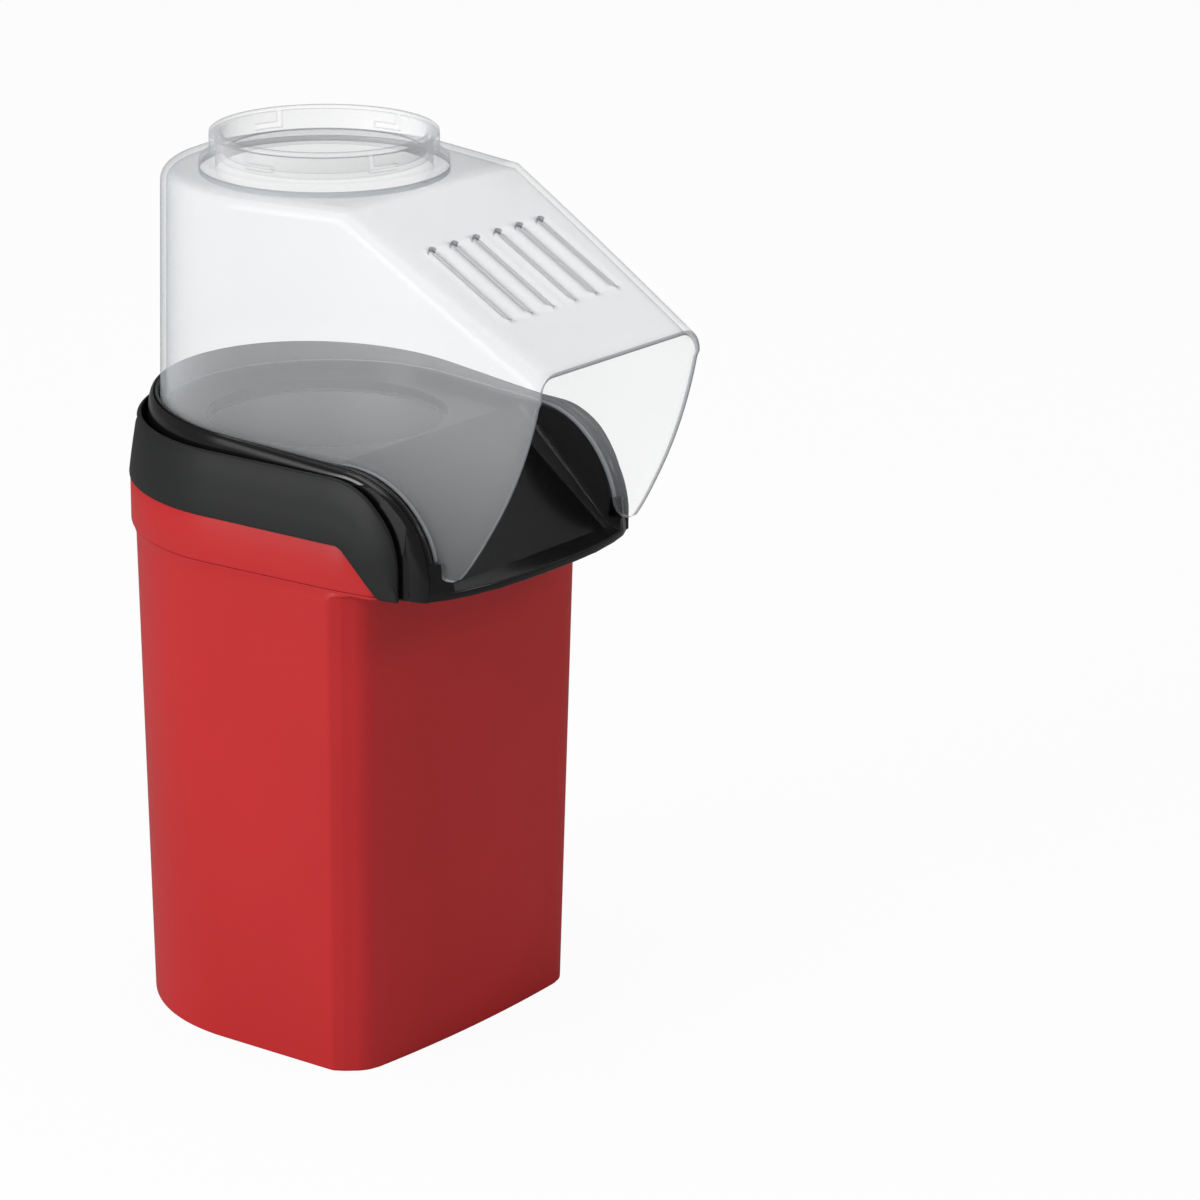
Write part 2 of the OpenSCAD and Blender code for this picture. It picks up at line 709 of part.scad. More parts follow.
module motor_end_cap() color([0.2, 0.2, 0.22])
    difference() {
        union() {
            translate([0, 0, motor_foot - 3]) cylinder(r = motor_r, h = 3);
            translate([0, 0, motor_foot]) cylinder(r = motor_r - 1 - gap, h = 2.5);
            for (side = [-1, 1]) translate([-1.2, side * board_tab_y - 0.4, board_z - 0.4])
                cube([2.4, 0.8, motor_foot - board_z - 2]);
        }
        translate([0, 0, motor_foot - 9]) cylinder(r = shaft_r + shaft_fit, h = 20);
    }

module motor_screws() color([0.6, 0.6, 0.62])
    for (side = [-1, 1]) translate([side * motor_screw_x, 0, fan_floor + fan_floor_t + 1.2])
        mirror([0, 0, 1]) screw(1.05, 2, 1.2, 6);

module rectifier_board() color([0.1, 0.35, 0.2])
    difference() {
        translate([-16, -13, board_z]) cube([32, 26, 1.6]);
        cylinder(r = 3, h = 20);
        for (side = [-1, 1]) translate([-1.5, side * board_tab_y - 0.7, board_z - 1])
            cube([3, 1.4, 6]);
    }

module diodes() color([0.12, 0.12, 0.12])
    for (x = [-12, -7.5, 7.5, 12]) translate([x, 0, board_z + 3.2]) rotate([90, 0, 0])
        cylinder(r = 1.5, h = 6, center = true, $fn = 32);

// ---- Mains side ----

module switch_body() color([0.09, 0.09, 0.09])
    translate([0, pad_y, switch_z]) difference() {
        union() {
            translate([-7.8, 0, -11]) cube([15.6, 1.8, 22]);
            translate([-6.5, -14, -9.6]) cube([13, 14, 19.2]);
            for (z = [-6, 0, 6]) translate([-2.4, -21, z - 0.4]) cube([4.8, 7, 0.8]);
        }
        translate([-4.9, -8, -8]) cube([9.8, 20, 16]);
        for (side = [-1, 1]) translate([side * 4.9, -3, 0]) rotate([0, side * 90, 0])
            cylinder(r = 1.05, h = 1, $fn = 32);
    }

// The rocker is drawn in its OFF tilt and turns about its pivot pins.
module switch_rocker() color([0.12, 0.12, 0.13])
    translate([0, pad_y - 3, switch_z]) rotate([rocker_off, 0, 0]) {
        rotate([90, 0, 90]) translate([0, 0, -4.6]) linear_extrude(9.2)
            polygon([[-3, -2.5], [-3, 2.5], [1.5, 7.2], [6.2, 7.2], [4.4, 0], [6.2, -7.2],
                     [1.5, -7.2]]);
        rotate([0, 90, 0]) cylinder(r = 1, h = 11.2, center = true, $fn = 32);
    }

module cord_gland() color([0.07, 0.07, 0.07])
    translate([0, 0, gland_z]) rotate([-90, 0, 0]) {
        difference() {
            union() {
                translate([0, 0, gland_inner]) cylinder(r = 7, h = 2.2);
                translate([0, 0, gland_inner]) cylinder(r = gland_hole - 0.1, h = gland_len);
                translate([0, 0, gland_inner + gland_len - 2.4]) cylinder(r1 = 7, r2 = 6, h = 2.4);
            }
            translate([0, 0, 50]) cylinder(r = gland_bore, h = 20);
        }
    }

function unit(v) = v / norm(v);
// Direction of a route at its point i: the mean of the stretches that meet there.
function heading(p, i) = unit((i < len(p) - 1 ? unit(p[i + 1] - p[i]) : [0, 0, 0])
                              + (i > 0 ? unit(p[i] - p[i - 1]) : [0, 0, 0]));

// A lead swept along its points, with closed ends.
module lead(points, r = 0.9, sides = 8) {
    last = len(points) - 1;
    ring = [for (i = [0:last]) let (along = heading(points, i), out = unit(cross(along, [1, 0.3, 0])),
                                    over = cross(along, out))
        for (k = [0:sides - 1]) let (a = 360 * k / sides)
            points[i] + r * (cos(a) * out + sin(a) * over)];
    walls = [for (i = [0:last - 1], k = [0:sides - 1]) let (next = (k + 1) % sides)
        [i * sides + k, (i + 1) * sides + k, (i + 1) * sides + next, i * sides + next]];
    polyhedron(ring, concat([[for (k = [0:sides - 1]) k]], walls,
                            [[for (k = [sides - 1:-1:0]) last * sides + k]]));
}

module internal_leads() color([0.8, 0.8, 0.82]) {
    lead([[1.2, 55.6, 17], [1.2, 50, 17], [1.2, 38, 24], [1.2, 40.8, 35.4]]);
    lead([[1.2, 40.8, 43], [1.2, 34, 46], [18, 44, 52], [24.2, 51.4, 82], [24.2, 51.4, 94],
          [5, 54.5, 165]]);
    lead([[-1.2, 55.6, 17], [-1.2, 48, 15], [-12, 20, 14.5], [-14.6, 10, 13.6]]);
}

housing();
base_plate();
rubber_feet();
base_screws();
collar();
chute_tray();
tray_screws();
hood();
measuring_cap();
popping_chamber();
chamber_gasket();
air_duct();
duct_screws();
fan_housing();
fan_housing_screws();
heater_sleeve();
mica_boards();
heater_coils();
thermostat();
thermal_fuse();
fan_impeller();
motor_shaft();
armature();
motor_can();
motor_magnets();
motor_end_cap();
motor_screws();
rectifier_board();
diodes();
switch_body();
switch_rocker();
cord_gland();
internal_leads();
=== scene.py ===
# Visual model of the hot-air popcorn maker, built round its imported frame.
# All lengths below are millimetres in the frame's own axes: +Z up, chute towards -Y.
import math

import bpy
import numpy as np
from mathutils import Matrix

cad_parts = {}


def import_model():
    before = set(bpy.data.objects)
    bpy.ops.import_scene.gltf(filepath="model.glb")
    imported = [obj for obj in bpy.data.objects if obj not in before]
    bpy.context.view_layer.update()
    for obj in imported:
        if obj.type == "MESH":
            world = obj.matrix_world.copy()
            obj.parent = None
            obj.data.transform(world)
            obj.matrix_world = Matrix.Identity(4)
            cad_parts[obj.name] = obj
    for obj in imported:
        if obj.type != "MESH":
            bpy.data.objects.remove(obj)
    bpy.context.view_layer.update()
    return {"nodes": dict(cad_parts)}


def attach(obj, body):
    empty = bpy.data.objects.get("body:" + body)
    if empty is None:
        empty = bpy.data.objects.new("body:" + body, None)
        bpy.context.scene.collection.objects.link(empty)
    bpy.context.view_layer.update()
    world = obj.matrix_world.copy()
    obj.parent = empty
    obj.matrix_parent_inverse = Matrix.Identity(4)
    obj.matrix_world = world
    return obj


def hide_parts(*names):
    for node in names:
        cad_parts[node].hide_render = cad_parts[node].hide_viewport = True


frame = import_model()

# -------------------------------- sizes

MM_PER_M = 1000

# Red body: its back's radius, half width and front; how far the front bows, over which half width;
# the bevelled corners in plan and how far each corner is blended; growth with height, and wall.
BODY_R, BODY_HALF, BODY_FRONT, FRONT_CROWN, FRONT_HALF = 61.0, 57.9, 63.4, 3.4, 49.1
BODY_BEVEL = [(52.6, -58.0), (55.7, -54.6), (BODY_HALF, -51.2)]
BODY_BLENDS = (3.6, 0.3, 0.3, 0.9)
BODY_DRAFT, BODY_WALL, WALL_HEIGHTS = 0.0003, 2.4, [80.0, 120.0]
FOOT_Z, STEP_Z, SEAM_Z = 0.2, 165.0, 168.6
FRONT_STEP, FRONT_FROM, FRONT_EASE = 2.4, 50, 4    # the step runs higher across the front

# Shoulder belt: its plan, and its edge, which sinks a little below the collar, slopes down along
# the cheeks beside the chute and stays just above the lip's level.
BELT_R, BELT_WALL = 65.6, 1.6
BELT_CORNERS = [(0, -66.6), (49.0, -66.2), (50.6, -72.4), (57.6, -71.6), (60.5, -56.0)]
BELT_BLENDS = (0.8, 1.4, 3.4, 6.0)
RIM_Z, LIP_Z = 184.5, 169.0
CHEEK_BACK, CHEEK_FRONT, CHEEK_EASE, CHUTE_HALF = 59.0, 73.5, 3, 49.5
CHEEK_SINK, RIM_SINK, LIP_RISE = 0.25, 0.05, 0.3

# Edges of the housing as (depth below the face, height).
FOOT_EDGE = ((0.7, 0), (0.35, 0.06), (0.12, 0.22), (0.02, 0.5), (0, 0.9))
STEP_EDGE = ((0, -0.8), (-0.05, 0))
SEAM_EDGE = ((0.75, -0.9), (0.55, -0.2), (0.6, 0), (1.1, 0.05), (1.1, 0.3), (0.3, 0.35),
             (0.08, 0.5))
RIM_EDGE = ((0, -0.25), (0.1, -0.08), (0.3, 0), (BELT_WALL, 0))
FOOT_CHAMFER = 0.3

# Openings in the back, and the pad round the switch with its edge as (growth, depth).
SWITCH_Z, SWITCH_CUT, SWITCH_CORNER = 42.0, (6.6, 9.7), 0.4
GLAND_Z, GLAND_CUT = 17.0, 4.4
PAD_HALF, PAD_CORNER, PAD_FOOT_Y, PAD_Y = (13, 16), 2.5, 57.5, 62.4
PAD_EDGE = ((0.3, 1.6), (0.1, 0.7), (-0.4, 0.12), (-0.9, 0))

# Points on the plans' straight lines, and on the back between the openings' edges.
PLAN_COUNTS = (18, 5, 3, 4, 5)
BACK_X = (SWITCH_CUT[0], GLAND_CUT)
BACK_COUNTS = (44, 3, 5)

# Collar, the bend of its arms, and the round of its upper edge.
ARM_FRONT, ARM_BEND = 80.3, 26.5
COLLAR_R, COLLAR_WALL, COLLAR_TOP = 66.0, 1.7, 205.6
COLLAR_LEAN, LEAN_POWER, LEAN_MOST = 3.2, 1.15, 1.4
COLLAR_CORNERS, COLLAR_BLENDS = [(57.4, -ARM_FRONT), (60.3, -71.0), (62.4, -56.0)], (3.0, 6.0)
BEAD_R = 1.1

# Rolled band: its inner edge in the side view and in plan, its gap to the collar's face, and the
# rows of its outer foot and of its crown as (share over, share up, depth below).
BAND_FRONT, BAND_BEND, BAND_TOP, BAND_RISE = 87.0, 34.0, 206.5, 0.0594
BAND_GAP, BAND_R, BAND_CORNERS = 3.3, 55.7, [(46.0, -BAND_FRONT), (48.9, -61.0)]
BAND_FOOT = ((0.02, 0, 4.5), (0.05, 0, 2.5))
BAND_CROWN = ((0.57, 0.985, -0.45), (0.60, 0.97, 0.15), (0.63, 0.975, -0.3), (0.69, 0.99, -0.65),
              (0.78, 1.0, -0.75), (0.88, 1.0, -0.55), (0.955, 1.0, -0.1), (0.99, 1.0, 0.5),
              (1.0, 1.0, 1.3), (1.0, 1.0, 3.6), (0.5, 0.6, 4.5))

# Lip: its front, bow and side in plan, its two faces, its rounded edge, and how far in it reaches.
LIP_FRONT, LIP_BOW, LIP_HALF = 96.6, 5.5, 44
LIP_SIDE = [(48.8, -88.2), (51.0, -85.6), (51.4, -81.0), (51.4, -76.0)]
LIP_LOW, LIP_HIGH, LIP_EDGE, LIP_DEPTH = 168.9, 171.5, 0.6, 14.0

# Hood: its wall, top and fillets, the crease and the mouth; then at the seat and at the shoulder
# the round back's radius, the corners in plan, and the straight sides' half widths as (y, x).
HOOD_WALL, HOOD_TOP, FILLET, MOUTH_FILLET = 2.0, 288.6, 5.0, 8.0
CREASE_Y, MOUTH_Y, MOUTH_Z, SEAT_Z = 46.5, 124.0, 247.0, 206.9
SEAT_R, SEAT_CORNERS = 55.2, [(48.33, -61.0), (50.05, -CREASE_Y)]
SHOULDER_R, SHOULDER_CORNERS = 53.6, [(44.0, -61.0), (45.3, -CREASE_Y)]
SEAT_SIDE = [(-150, 37.7), (-91.9, 44.64), (-61, 48.33), (-6.7, 54.8)]
SHOULDER_SIDE = [(-150, 38.8), (-124, 40.4), (-CREASE_Y, 45.3), (-12, 52.2)]
SIDE_FOOT, SIDE_RISE = 207, 76.6

# Side view of the hood's front edge: the tip beside the chute, with its angles at the mouth, at its
# lowest and at the seat, where the seat's bend takes over, and the mouth's hollow arc.
TIP, TIP_R, TIP_TURN, TIP_JOIN = (-91.7, 180.9), 5.5, (-142.7, -104, 0), 165
SEAT_LIFT = 0.4
MOUTH_ARC, MOUTH_BEND, MOUTH_TURN = (23.6, 268.7), 150.0, (217.3, 188)
TIP_OVER, TIP_EASE = 0.42, 8

# Neck, ledge and measuring cap; bayonet slots with their angles and their width in steps of the
# neck, and the width of their mouths.
LEDGE_R, LEDGE_LOW, LEDGE_Z = 41.0, 286.6, 291.0
NECK_R, NECK_WALL, NECK_TOP, NECK_STEPS = 37.6, 2.0, 298.6, 240
BAYONET_Z, BAYONETS, BAYONET_STEPS, MOUTH_STEPS = (293.0, 295.0), (0, 66, 180, 246), 11, 2
CAP_R, CAP_IN, CAP_FLOOR, CAP_RIM, CAP_TOP = 35.2, 33.7, 291.0, 298.66, 299.98

# Six slots in the sloping roof, and the row of points beyond their rounded ends.
SLOT_W, SLOT_LEN, SLOT_PITCH, SLOT_MID, SLOTS = 3.0, 37.4, 10.7, 84.9, 6
END_GAP, END_SHARE = 2.2, 0.35

# Lens: place, bearing, height angle and roll in degrees, and focal length in pixels.
CAMERA_AT = (-1120.23, -1009.66, 641.84)
CAMERA_AZ, CAMERA_EL, CAMERA_ROLL = -51.43, 18.47, 0.47
FOCAL_PX, IMAGE_PX, SENSOR = 4720.94, 1200.0, 36.0
CLIP = (0.05, 20)

# Floor and backdrop, and the lamps as name, place, aim, size and power in watts.
SWEEP_FRONT, SWEEP_TURN, SWEEP_R, SWEEP_TOP, SWEEP_HALF = -3000.0, 1800.0, 900.0, 3600.0, 3500.0
LAMPS = (("key", (-1500, 350, 700), (0, 0, 150), 800, 16),
         ("front", (620, -1150, 1000), (0, -60, 190), 260, 2.0),
         ("top", (-200, 100, 1600), (0, 0, 0), 900, 5))


# -------------------------------- curves

def arc(centre, radius, start, end, count):
    """Points of a circle: centre + radius (cos a, sin a), with a in degrees from start to end."""
    a = np.radians(np.linspace(start, end, count))
    return np.c_[centre[0] + radius * np.cos(a), centre[1] + radius * np.sin(a)]


def lengths(points):
    """Distance along a polyline from its first point to each of its points."""
    return np.r_[0, np.cumsum(np.linalg.norm(np.diff(points, axis=0), axis=1))]


def resample(points, count):
    """count points spaced evenly by length along a polyline."""
    points = np.asarray(points, float)
    run = lengths(points)
    t = np.linspace(0, run[-1], count)
    return np.stack([np.interp(t, run, column) for column in points.T], 1)


def join(*lines):
    """Lines laid end to end, each one after the first without its first point."""
    return np.concatenate([lines[0]] + [line[1:] for line in lines[1:]])


def half_plan(radius, corners, blends, counts, back_x, back_counts, blend_count=5):
    """Right half of a plan, from the middle of the front to the middle of the back: straight lines
    through the corners, where each corner p is the quadratic curve (1-t)^2 a + 2t(1-t) p + t^2 b
    between points a and b at the blend's distance, then the tangent to the round back and its arc,
    with a point where x is back_x."""
    last = np.array(corners[-1], float)
    touch = math.atan2(last[1], last[0]) + math.acos(radius / np.linalg.norm(last))
    touch_at = radius * np.array([math.cos(touch), math.sin(touch)])
    line = [np.array(c, float) for c in corners] + [touch_at]
    pieces, here = [], line[0]
    for i in range(1, len(line) - 1):
        before, after = line[i - 1] - line[i], line[i + 1] - line[i]
        a = line[i] + before / np.linalg.norm(before) * blends[i - 1]
        b = line[i] + after / np.linalg.norm(after) * blends[i - 1]
        t = np.linspace(0, 1, blend_count)[:, None]
        pieces += [resample([here, a], counts[i - 1]),
                   (1 - t) ** 2 * a + 2 * t * (1 - t) * line[i] + t ** 2 * b]
        here = b
    pieces.append(resample([here, touch_at], counts[-1]))
    angles = [math.degrees(touch)] + [math.degrees(math.acos(x / radius)) for x in back_x] + [90]
    for start, end, count in zip(angles, angles[1:], back_counts):
        pieces.append(arc((0, 0), radius, start, end, count))
    return join(*pieces)


def whole(half):
    """A closed plan from its right half, anticlockwise from the front, with each point once."""
    return np.concatenate([half, (half * [-1, 1])[-2:0:-1]])


def outward(plan, closed=True):
    """Mitred outward normals of an anticlockwise plan: the edge normals either side of a point are
    added and divided by 1 + their dot product."""
    step = np.roll(plan, -1, axis=0) - plan if closed else np.diff(plan, axis=0)
    edge = np.c_[step[:, 1], -step[:, 0]] / np.linalg.norm(step, axis=1)[:, None]
    if closed:
        before = np.roll(edge, 1, axis=0)
    else:
        before, edge = np.r_[edge[:1], edge], np.r_[edge, edge[-1:]]
    dot = np.clip((edge * before).sum(1), -0.5, 1)
    return (edge + before) / (1 + dot)[:, None]


def half_outward(half):
    """Outward normals of a right half plan, whose last one points straight back."""
    normals = outward(half, closed=False)
    normals[-1] = (0, 1)
    return normals


def row(plan, normals, inset, z):
    """One level of a form: the plan taken in by inset along its normals, at height z."""
    return np.c_[plan - normals * np.reshape(inset, (-1, 1)), np.zeros(len(plan)) + z]


def both_sides(points):
    """A right-hand grid joined to its mirror image across the middle plane."""
    return np.concatenate([points, (points * [-1, 1, 1])[:-1][::-1]])


# -------------------------------- meshes

class Form:
    """Patches of quads that are gathered, in millimetres, and then made one mesh."""

    def __init__(self):
        self.points, self.quads, self.tags, self.total = [], [], [], 0

    def grid(self, points, wrap_u=False, wrap_v=False, skip=None, tag=0, turned=False):
        """Quads between neighbouring points of a (u, v) array. skip marks the cells left open, tag
        numbers each cell's material, and turned makes the quads face the other way."""
        nu, nv = points.shape[:2]
        index = np.arange(nu * nv).reshape(nu, nv)
        if wrap_u:
            index = np.r_[index, index[:1]]
        if wrap_v:
            index = np.c_[index, index[:, :1]]
        quads = np.stack([index[:-1, :-1], index[1:, :-1], index[1:, 1:], index[:-1, 1:]], -1)
        tag = np.broadcast_to(tag, quads.shape[:2])
        if skip is not None:
            quads, tag = quads[~skip], tag[~skip]
        quads = quads.reshape(-1, 4)
        self.points.append(points.reshape(-1, 3))
        self.quads.append((quads[:, ::-1] if turned else quads) + self.total)
        self.tags.append(tag.reshape(-1))
        self.total += nu * nv
        return self

    def fan(self, loop, turned=False):
        """A closed loop filled with triangles that meet at the mean of its points."""
        centre = np.repeat(loop.mean(0)[None], len(loop), 0)
        return self.grid(np.stack([loop, centre], 1), wrap_u=True, turned=turned)

    def jamb(self, points, column, outer, inner, turned):
        """The side of an opening, between two rows of a column outside and two inside."""
        return self.grid(np.stack([points[column, outer], points[column, inner]], 1), turned=turned)

    def mesh(self, name):
        """Points closer than a hundredth of a millimetre become one, and a quad that this closes
        up is left out or becomes a triangle."""
        points = np.concatenate(self.points)
        quads = np.concatenate(self.quads)
        tags = np.concatenate(self.tags)
        _, first, merged = np.unique(np.round(points, 2), axis=0, return_index=True,
                                     return_inverse=True)
        quads = merged.reshape(-1)[quads]
        same = quads == np.roll(quads, -1, axis=1)
        across = (quads[:, 0] == quads[:, 2]) | (quads[:, 1] == quads[:, 3])
        keep = (same.sum(1) <= 1) & ~across
        quads, same, tags = quads[keep], same[keep], tags[keep]
        corner = np.where(same, -1, quads)
        flat = corner.reshape(-1)
        sizes = (corner >= 0).sum(1)
        mesh = bpy.data.meshes.new(name)
        mesh.vertices.add(len(first))
        mesh.vertices.foreach_set("co", (points[first] / MM_PER_M).reshape(-1))
        mesh.loops.add(int(sizes.sum()))
        mesh.loops.foreach_set("vertex_index", flat[flat >= 0])
        mesh.polygons.add(len(sizes))
        mesh.polygons.foreach_set("loop_start", np.r_[0, np.cumsum(sizes)[:-1]])
        mesh.polygons.foreach_set("material_index", tags)
        mesh.polygons.foreach_set("use_smooth", np.ones(len(sizes), bool))
        mesh.update(calc_edges=True)
        mesh.validate()
        return mesh


def placed(name, data):
    """An object made from its data and linked to the scene."""
    made = bpy.data.objects.new(name, data)
    bpy.context.scene.collection.objects.link(made)
    return made


def piece(name, form, finishes, body, stands_for=(), sharp=35):
    """A named piece in its place: smooth, with edges sharper than an angle kept crisp."""
    mesh = form.mesh(name)
    for finish in finishes:
        mesh.materials.append(finish.material)
    mesh.set_sharp_from_angle(angle=math.radians(sharp))
    made = placed(name, mesh)
    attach(made, body)
    if stands_for:
        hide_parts(*stands_for)
    return made


# -------------------------------- materials

class Socket:
    """A node's output that adds Math nodes when it is used in an expression."""

    def __init__(self, tree, output):
        self.tree, self.output = tree, output

    def maths(self, operation, other):
        return make_node(self.tree, "ShaderNodeMath", {"operation": operation},
                         **{"0": self, "1": other})

    def __add__(self, other):
        return self.maths("ADD", other)

    def __mul__(self, other):
        return self.maths("MULTIPLY", other)

    def __pow__(self, other):
        return self.maths("POWER", other)


def make_node(tree, kind, settings=None, out=0, **inputs):
    """Adds a node: its settings first, then its sockets' values or links, named or numbered."""
    node = tree.nodes.new(kind)
    for key, value in (settings or {}).items():
        if key == "stops":
            ramp = node.color_ramp
            for i, (at, shade) in enumerate(value):
                stop = ramp.elements[i] if i < 2 else ramp.elements.new(at)
                stop.position, stop.color = at, (*shade, 1)
        else:
            setattr(node, key, value)
    for key, value in inputs.items():
        socket = node.inputs[int(key) if key.isdigit() else key.replace("_", " ")]
        if isinstance(value, Socket):
            tree.links.new(value.output, socket)
        else:
            socket.default_value = value
    return Socket(tree, node.outputs[out]) if node.outputs else None


class Finish:
    """A material with a Principled shader, and Object coordinates to work from."""

    def __init__(self, name, **constants):
        self.material = bpy.data.materials.new(name)
        self.material.use_nodes = True
        self.tree = self.material.node_tree
        self.shader = self.tree.nodes["Principled BSDF"]
        self.place = self.node("ShaderNodeTexCoord", out=3)
        for key, value in constants.items():
            self.shader.inputs[key.replace("_", " ")].default_value = value

    def node(self, kind, settings=None, **inputs):
        return make_node(self.tree, kind, settings, **inputs)

    def noise(self, scale, detail, roughness=0.5, at=None):
        """Noise with scale cells to the metre."""
        return self.node("ShaderNodeTexNoise", Vector=at or self.place, Scale=scale,
                         Detail=detail, Roughness=roughness)

    def ramp(self, factor, stops):
        return self.node("ShaderNodeValToRGB", {"stops": stops}, Fac=factor)

    def mixed(self, factor, a, b):
        """A mix of two plain colours."""
        return self.node("ShaderNodeMix", {"data_type": "RGBA"}, out=2,
                         **{"0": factor, "6": (*a, 1), "7": (*b, 1)})

    def feed(self, **links):
        for key, value in links.items():
            self.tree.links.new(value.output, self.shader.inputs[key.replace("_", " ")])
        return self

    def bump(self, height, distance, strength=0.5):
        """A bump whose height is in millimetres of distance."""
        return self.feed(Normal=self.node("ShaderNodeBump", Strength=strength,
                                          Distance=distance / MM_PER_M, Height=height))


# Cells to the metre of the drift in a colour, of the marks of handling, of stains and of haze.
DRIFT, HANDLING, STAIN, HAZE_GRAIN = 14, 60, 25, 9


def moulded(name, colour, roughness, grain, depth, spread=0.04, sway=0.06, **constants):
    """Moulded plastic: an even grain in the bump, grain cells to the metre and depth millimetres
    high, a slow drift of the colour by spread, and a gloss that varies by sway with handling."""
    finish = Finish(name, **constants)
    drift = finish.noise(DRIFT, detail=2)
    dark, light = (tuple(c * (1 + k * spread) for c in colour) for k in (-1, 1))
    finish.feed(Base_Color=finish.ramp(drift, [(0.3, dark), (0.7, light)]),
                Roughness=finish.noise(HANDLING, detail=4) * sway + (roughness - sway / 2))
    return finish.bump(finish.noise(grain, detail=2, roughness=0.6), depth)


STREAK_DULL, STAIN_DULL, STREAK_DEPTH = 0.12, 0.1, 0.01


def metal(name, colour, roughness, stretch=(1, 1, 30), streak=500):
    """Bare metal: streaks drawn out along one direction vary its roughness and its bump, and faint
    stains dull its colour."""
    finish = Finish(name, Metallic=1.0)
    stretched = finish.node("ShaderNodeMapping", Vector=finish.place, Scale=stretch)
    lines = finish.noise(streak, detail=3, roughness=0.6, at=stretched)
    stain = finish.noise(STAIN, detail=4)
    finish.feed(Base_Color=finish.mixed(stain * 0.5, tuple(c * 0.82 for c in colour), colour),
                Roughness=lines * STREAK_DULL + stain * STAIN_DULL
                + (roughness - STREAK_DULL / 2 - STAIN_DULL / 2))
    return finish.bump(lines, STREAK_DEPTH, strength=0.3)


def winding_finish():
    """Enamelled copper: fine turns of wire shown as bands across the armature."""
    finish = Finish("enamelled copper", Metallic=0.85)
    turns = finish.node("ShaderNodeTexWave", {"wave_type": "BANDS", "bands_direction": "Z"},
                        Vector=finish.place, Scale=420.0, Distortion=1.2)
    stops = [(0.1, (0.12, 0.05, 0.02)), (0.8, (0.52, 0.25, 0.1))]
    finish.feed(Base_Color=finish.ramp(turns, stops), Roughness=turns * -0.15 + 0.5)
    return finish.bump(turns, 0.15, strength=0.6)


# What the clear plastic's alpha gains from one height to another, in metres, a painted veil of
# reflected light that thins towards the bottom, and its unevenness.
PAINTED_VEIL_Z, PAINTED_VEIL, HAZE_SPREAD = (0.175, 0.225), (-0.066, 0.026), 0.03


def clear_finish(name, tints, opening, roughness):
    """Clear moulding seen as a thin sheet: nearly open face on, and darker and more closed towards
    its edges, where the darker colour is painted shade for what refraction shows edge on. tints are
    its colours face on and at the edge, and opening is (alpha face on, alpha at the edge, power of
    the change between them)."""
    face_on, edge_on, falloff = opening
    finish = Finish(name, Roughness=roughness)
    turn = finish.node("ShaderNodeLayerWeight", out=1, Blend=0.5) ** falloff
    at_z = finish.node("ShaderNodeSeparateXYZ", out=2, Vector=finish.place)
    # The alpha's rise with height is a painted reflection veil, thinner low down; the noise on it
    # is uneven haze.
    height = finish.node("ShaderNodeMapRange", Value=at_z, **dict(zip("1234", PAINTED_VEIL_Z + PAINTED_VEIL)))
    haze_and_veil = finish.noise(HAZE_GRAIN, detail=2) * HAZE_SPREAD + height
    finish.feed(Base_Color=finish.mixed(turn, *tints),
                Alpha=turn * (edge_on - face_on) + haze_and_veil + face_on)
    return finish


body_red = moulded("red moulded plastic", (0.48, 0.019, 0.021), 0.42, 1500, 0.012,
                   Specular_IOR_Level=0.24)
collar_black = moulded("matt black plastic", (0.014, 0.0145, 0.015), 0.52, 2200, 0.03,
                       Specular_IOR_Level=0.28)
tray_black = moulded("gloss black plastic", (0.005, 0.005, 0.0055), 0.2, 400, 0.004,
                     sway=0.03)
clear = clear_finish("clear plastic", ((0.92, 0.94, 0.96), (0.42, 0.46, 0.50)),
                     (0.10, 0.66, 3.0), 0.12)
# Painted shade: the hood's cut edges are tinted dark grey for the dark lines refraction draws
# there.
shaded_clear_edge = clear_finish("clear plastic edge with painted shade", ((0.46, 0.49, 0.52), (0.22, 0.24, 0.27)),
                         (0.6, 0.85, 1.5), 0.2)
# Painted light: the slots' side walls are paler and more open than the other cut edges, to lift
# their shade.
lightened_slot_wall = clear_finish("clear plastic slot wall with painted light", ((0.93, 0.95, 0.96), (0.72, 0.75, 0.78)),
                          (0.08, 0.3, 2.0), 0.2)
clear_floor = clear_finish("clear plastic cap floor", ((0.96, 0.97, 0.98), (0.75, 0.78, 0.80)),
                           (0.0, 0.12, 2.0), 0.1)
clear_thin = clear_finish("clear plastic neck", ((0.95, 0.96, 0.97), (0.50, 0.53, 0.56)),
                          (0.02, 0.6, 2.4), 0.1)
# Painted shade: the cap floor's inner corner is tinted dark for the dark ring refraction shows
# there.
shaded_cap_corner = clear_finish("clear plastic cap corner with painted shade", ((0.24, 0.25, 0.26), (0.16, 0.17, 0.18)),
                          (0.4, 0.6, 1.5), 0.2)
# Painted shade: the slots' upper ends are tinted dark for the shade and refraction seen there.
shaded_slot_end = clear_finish("clear plastic slot end with painted shade", ((0.30, 0.32, 0.34), (0.12, 0.13, 0.14)),
                         (0.7, 0.9, 1.5), 0.2)

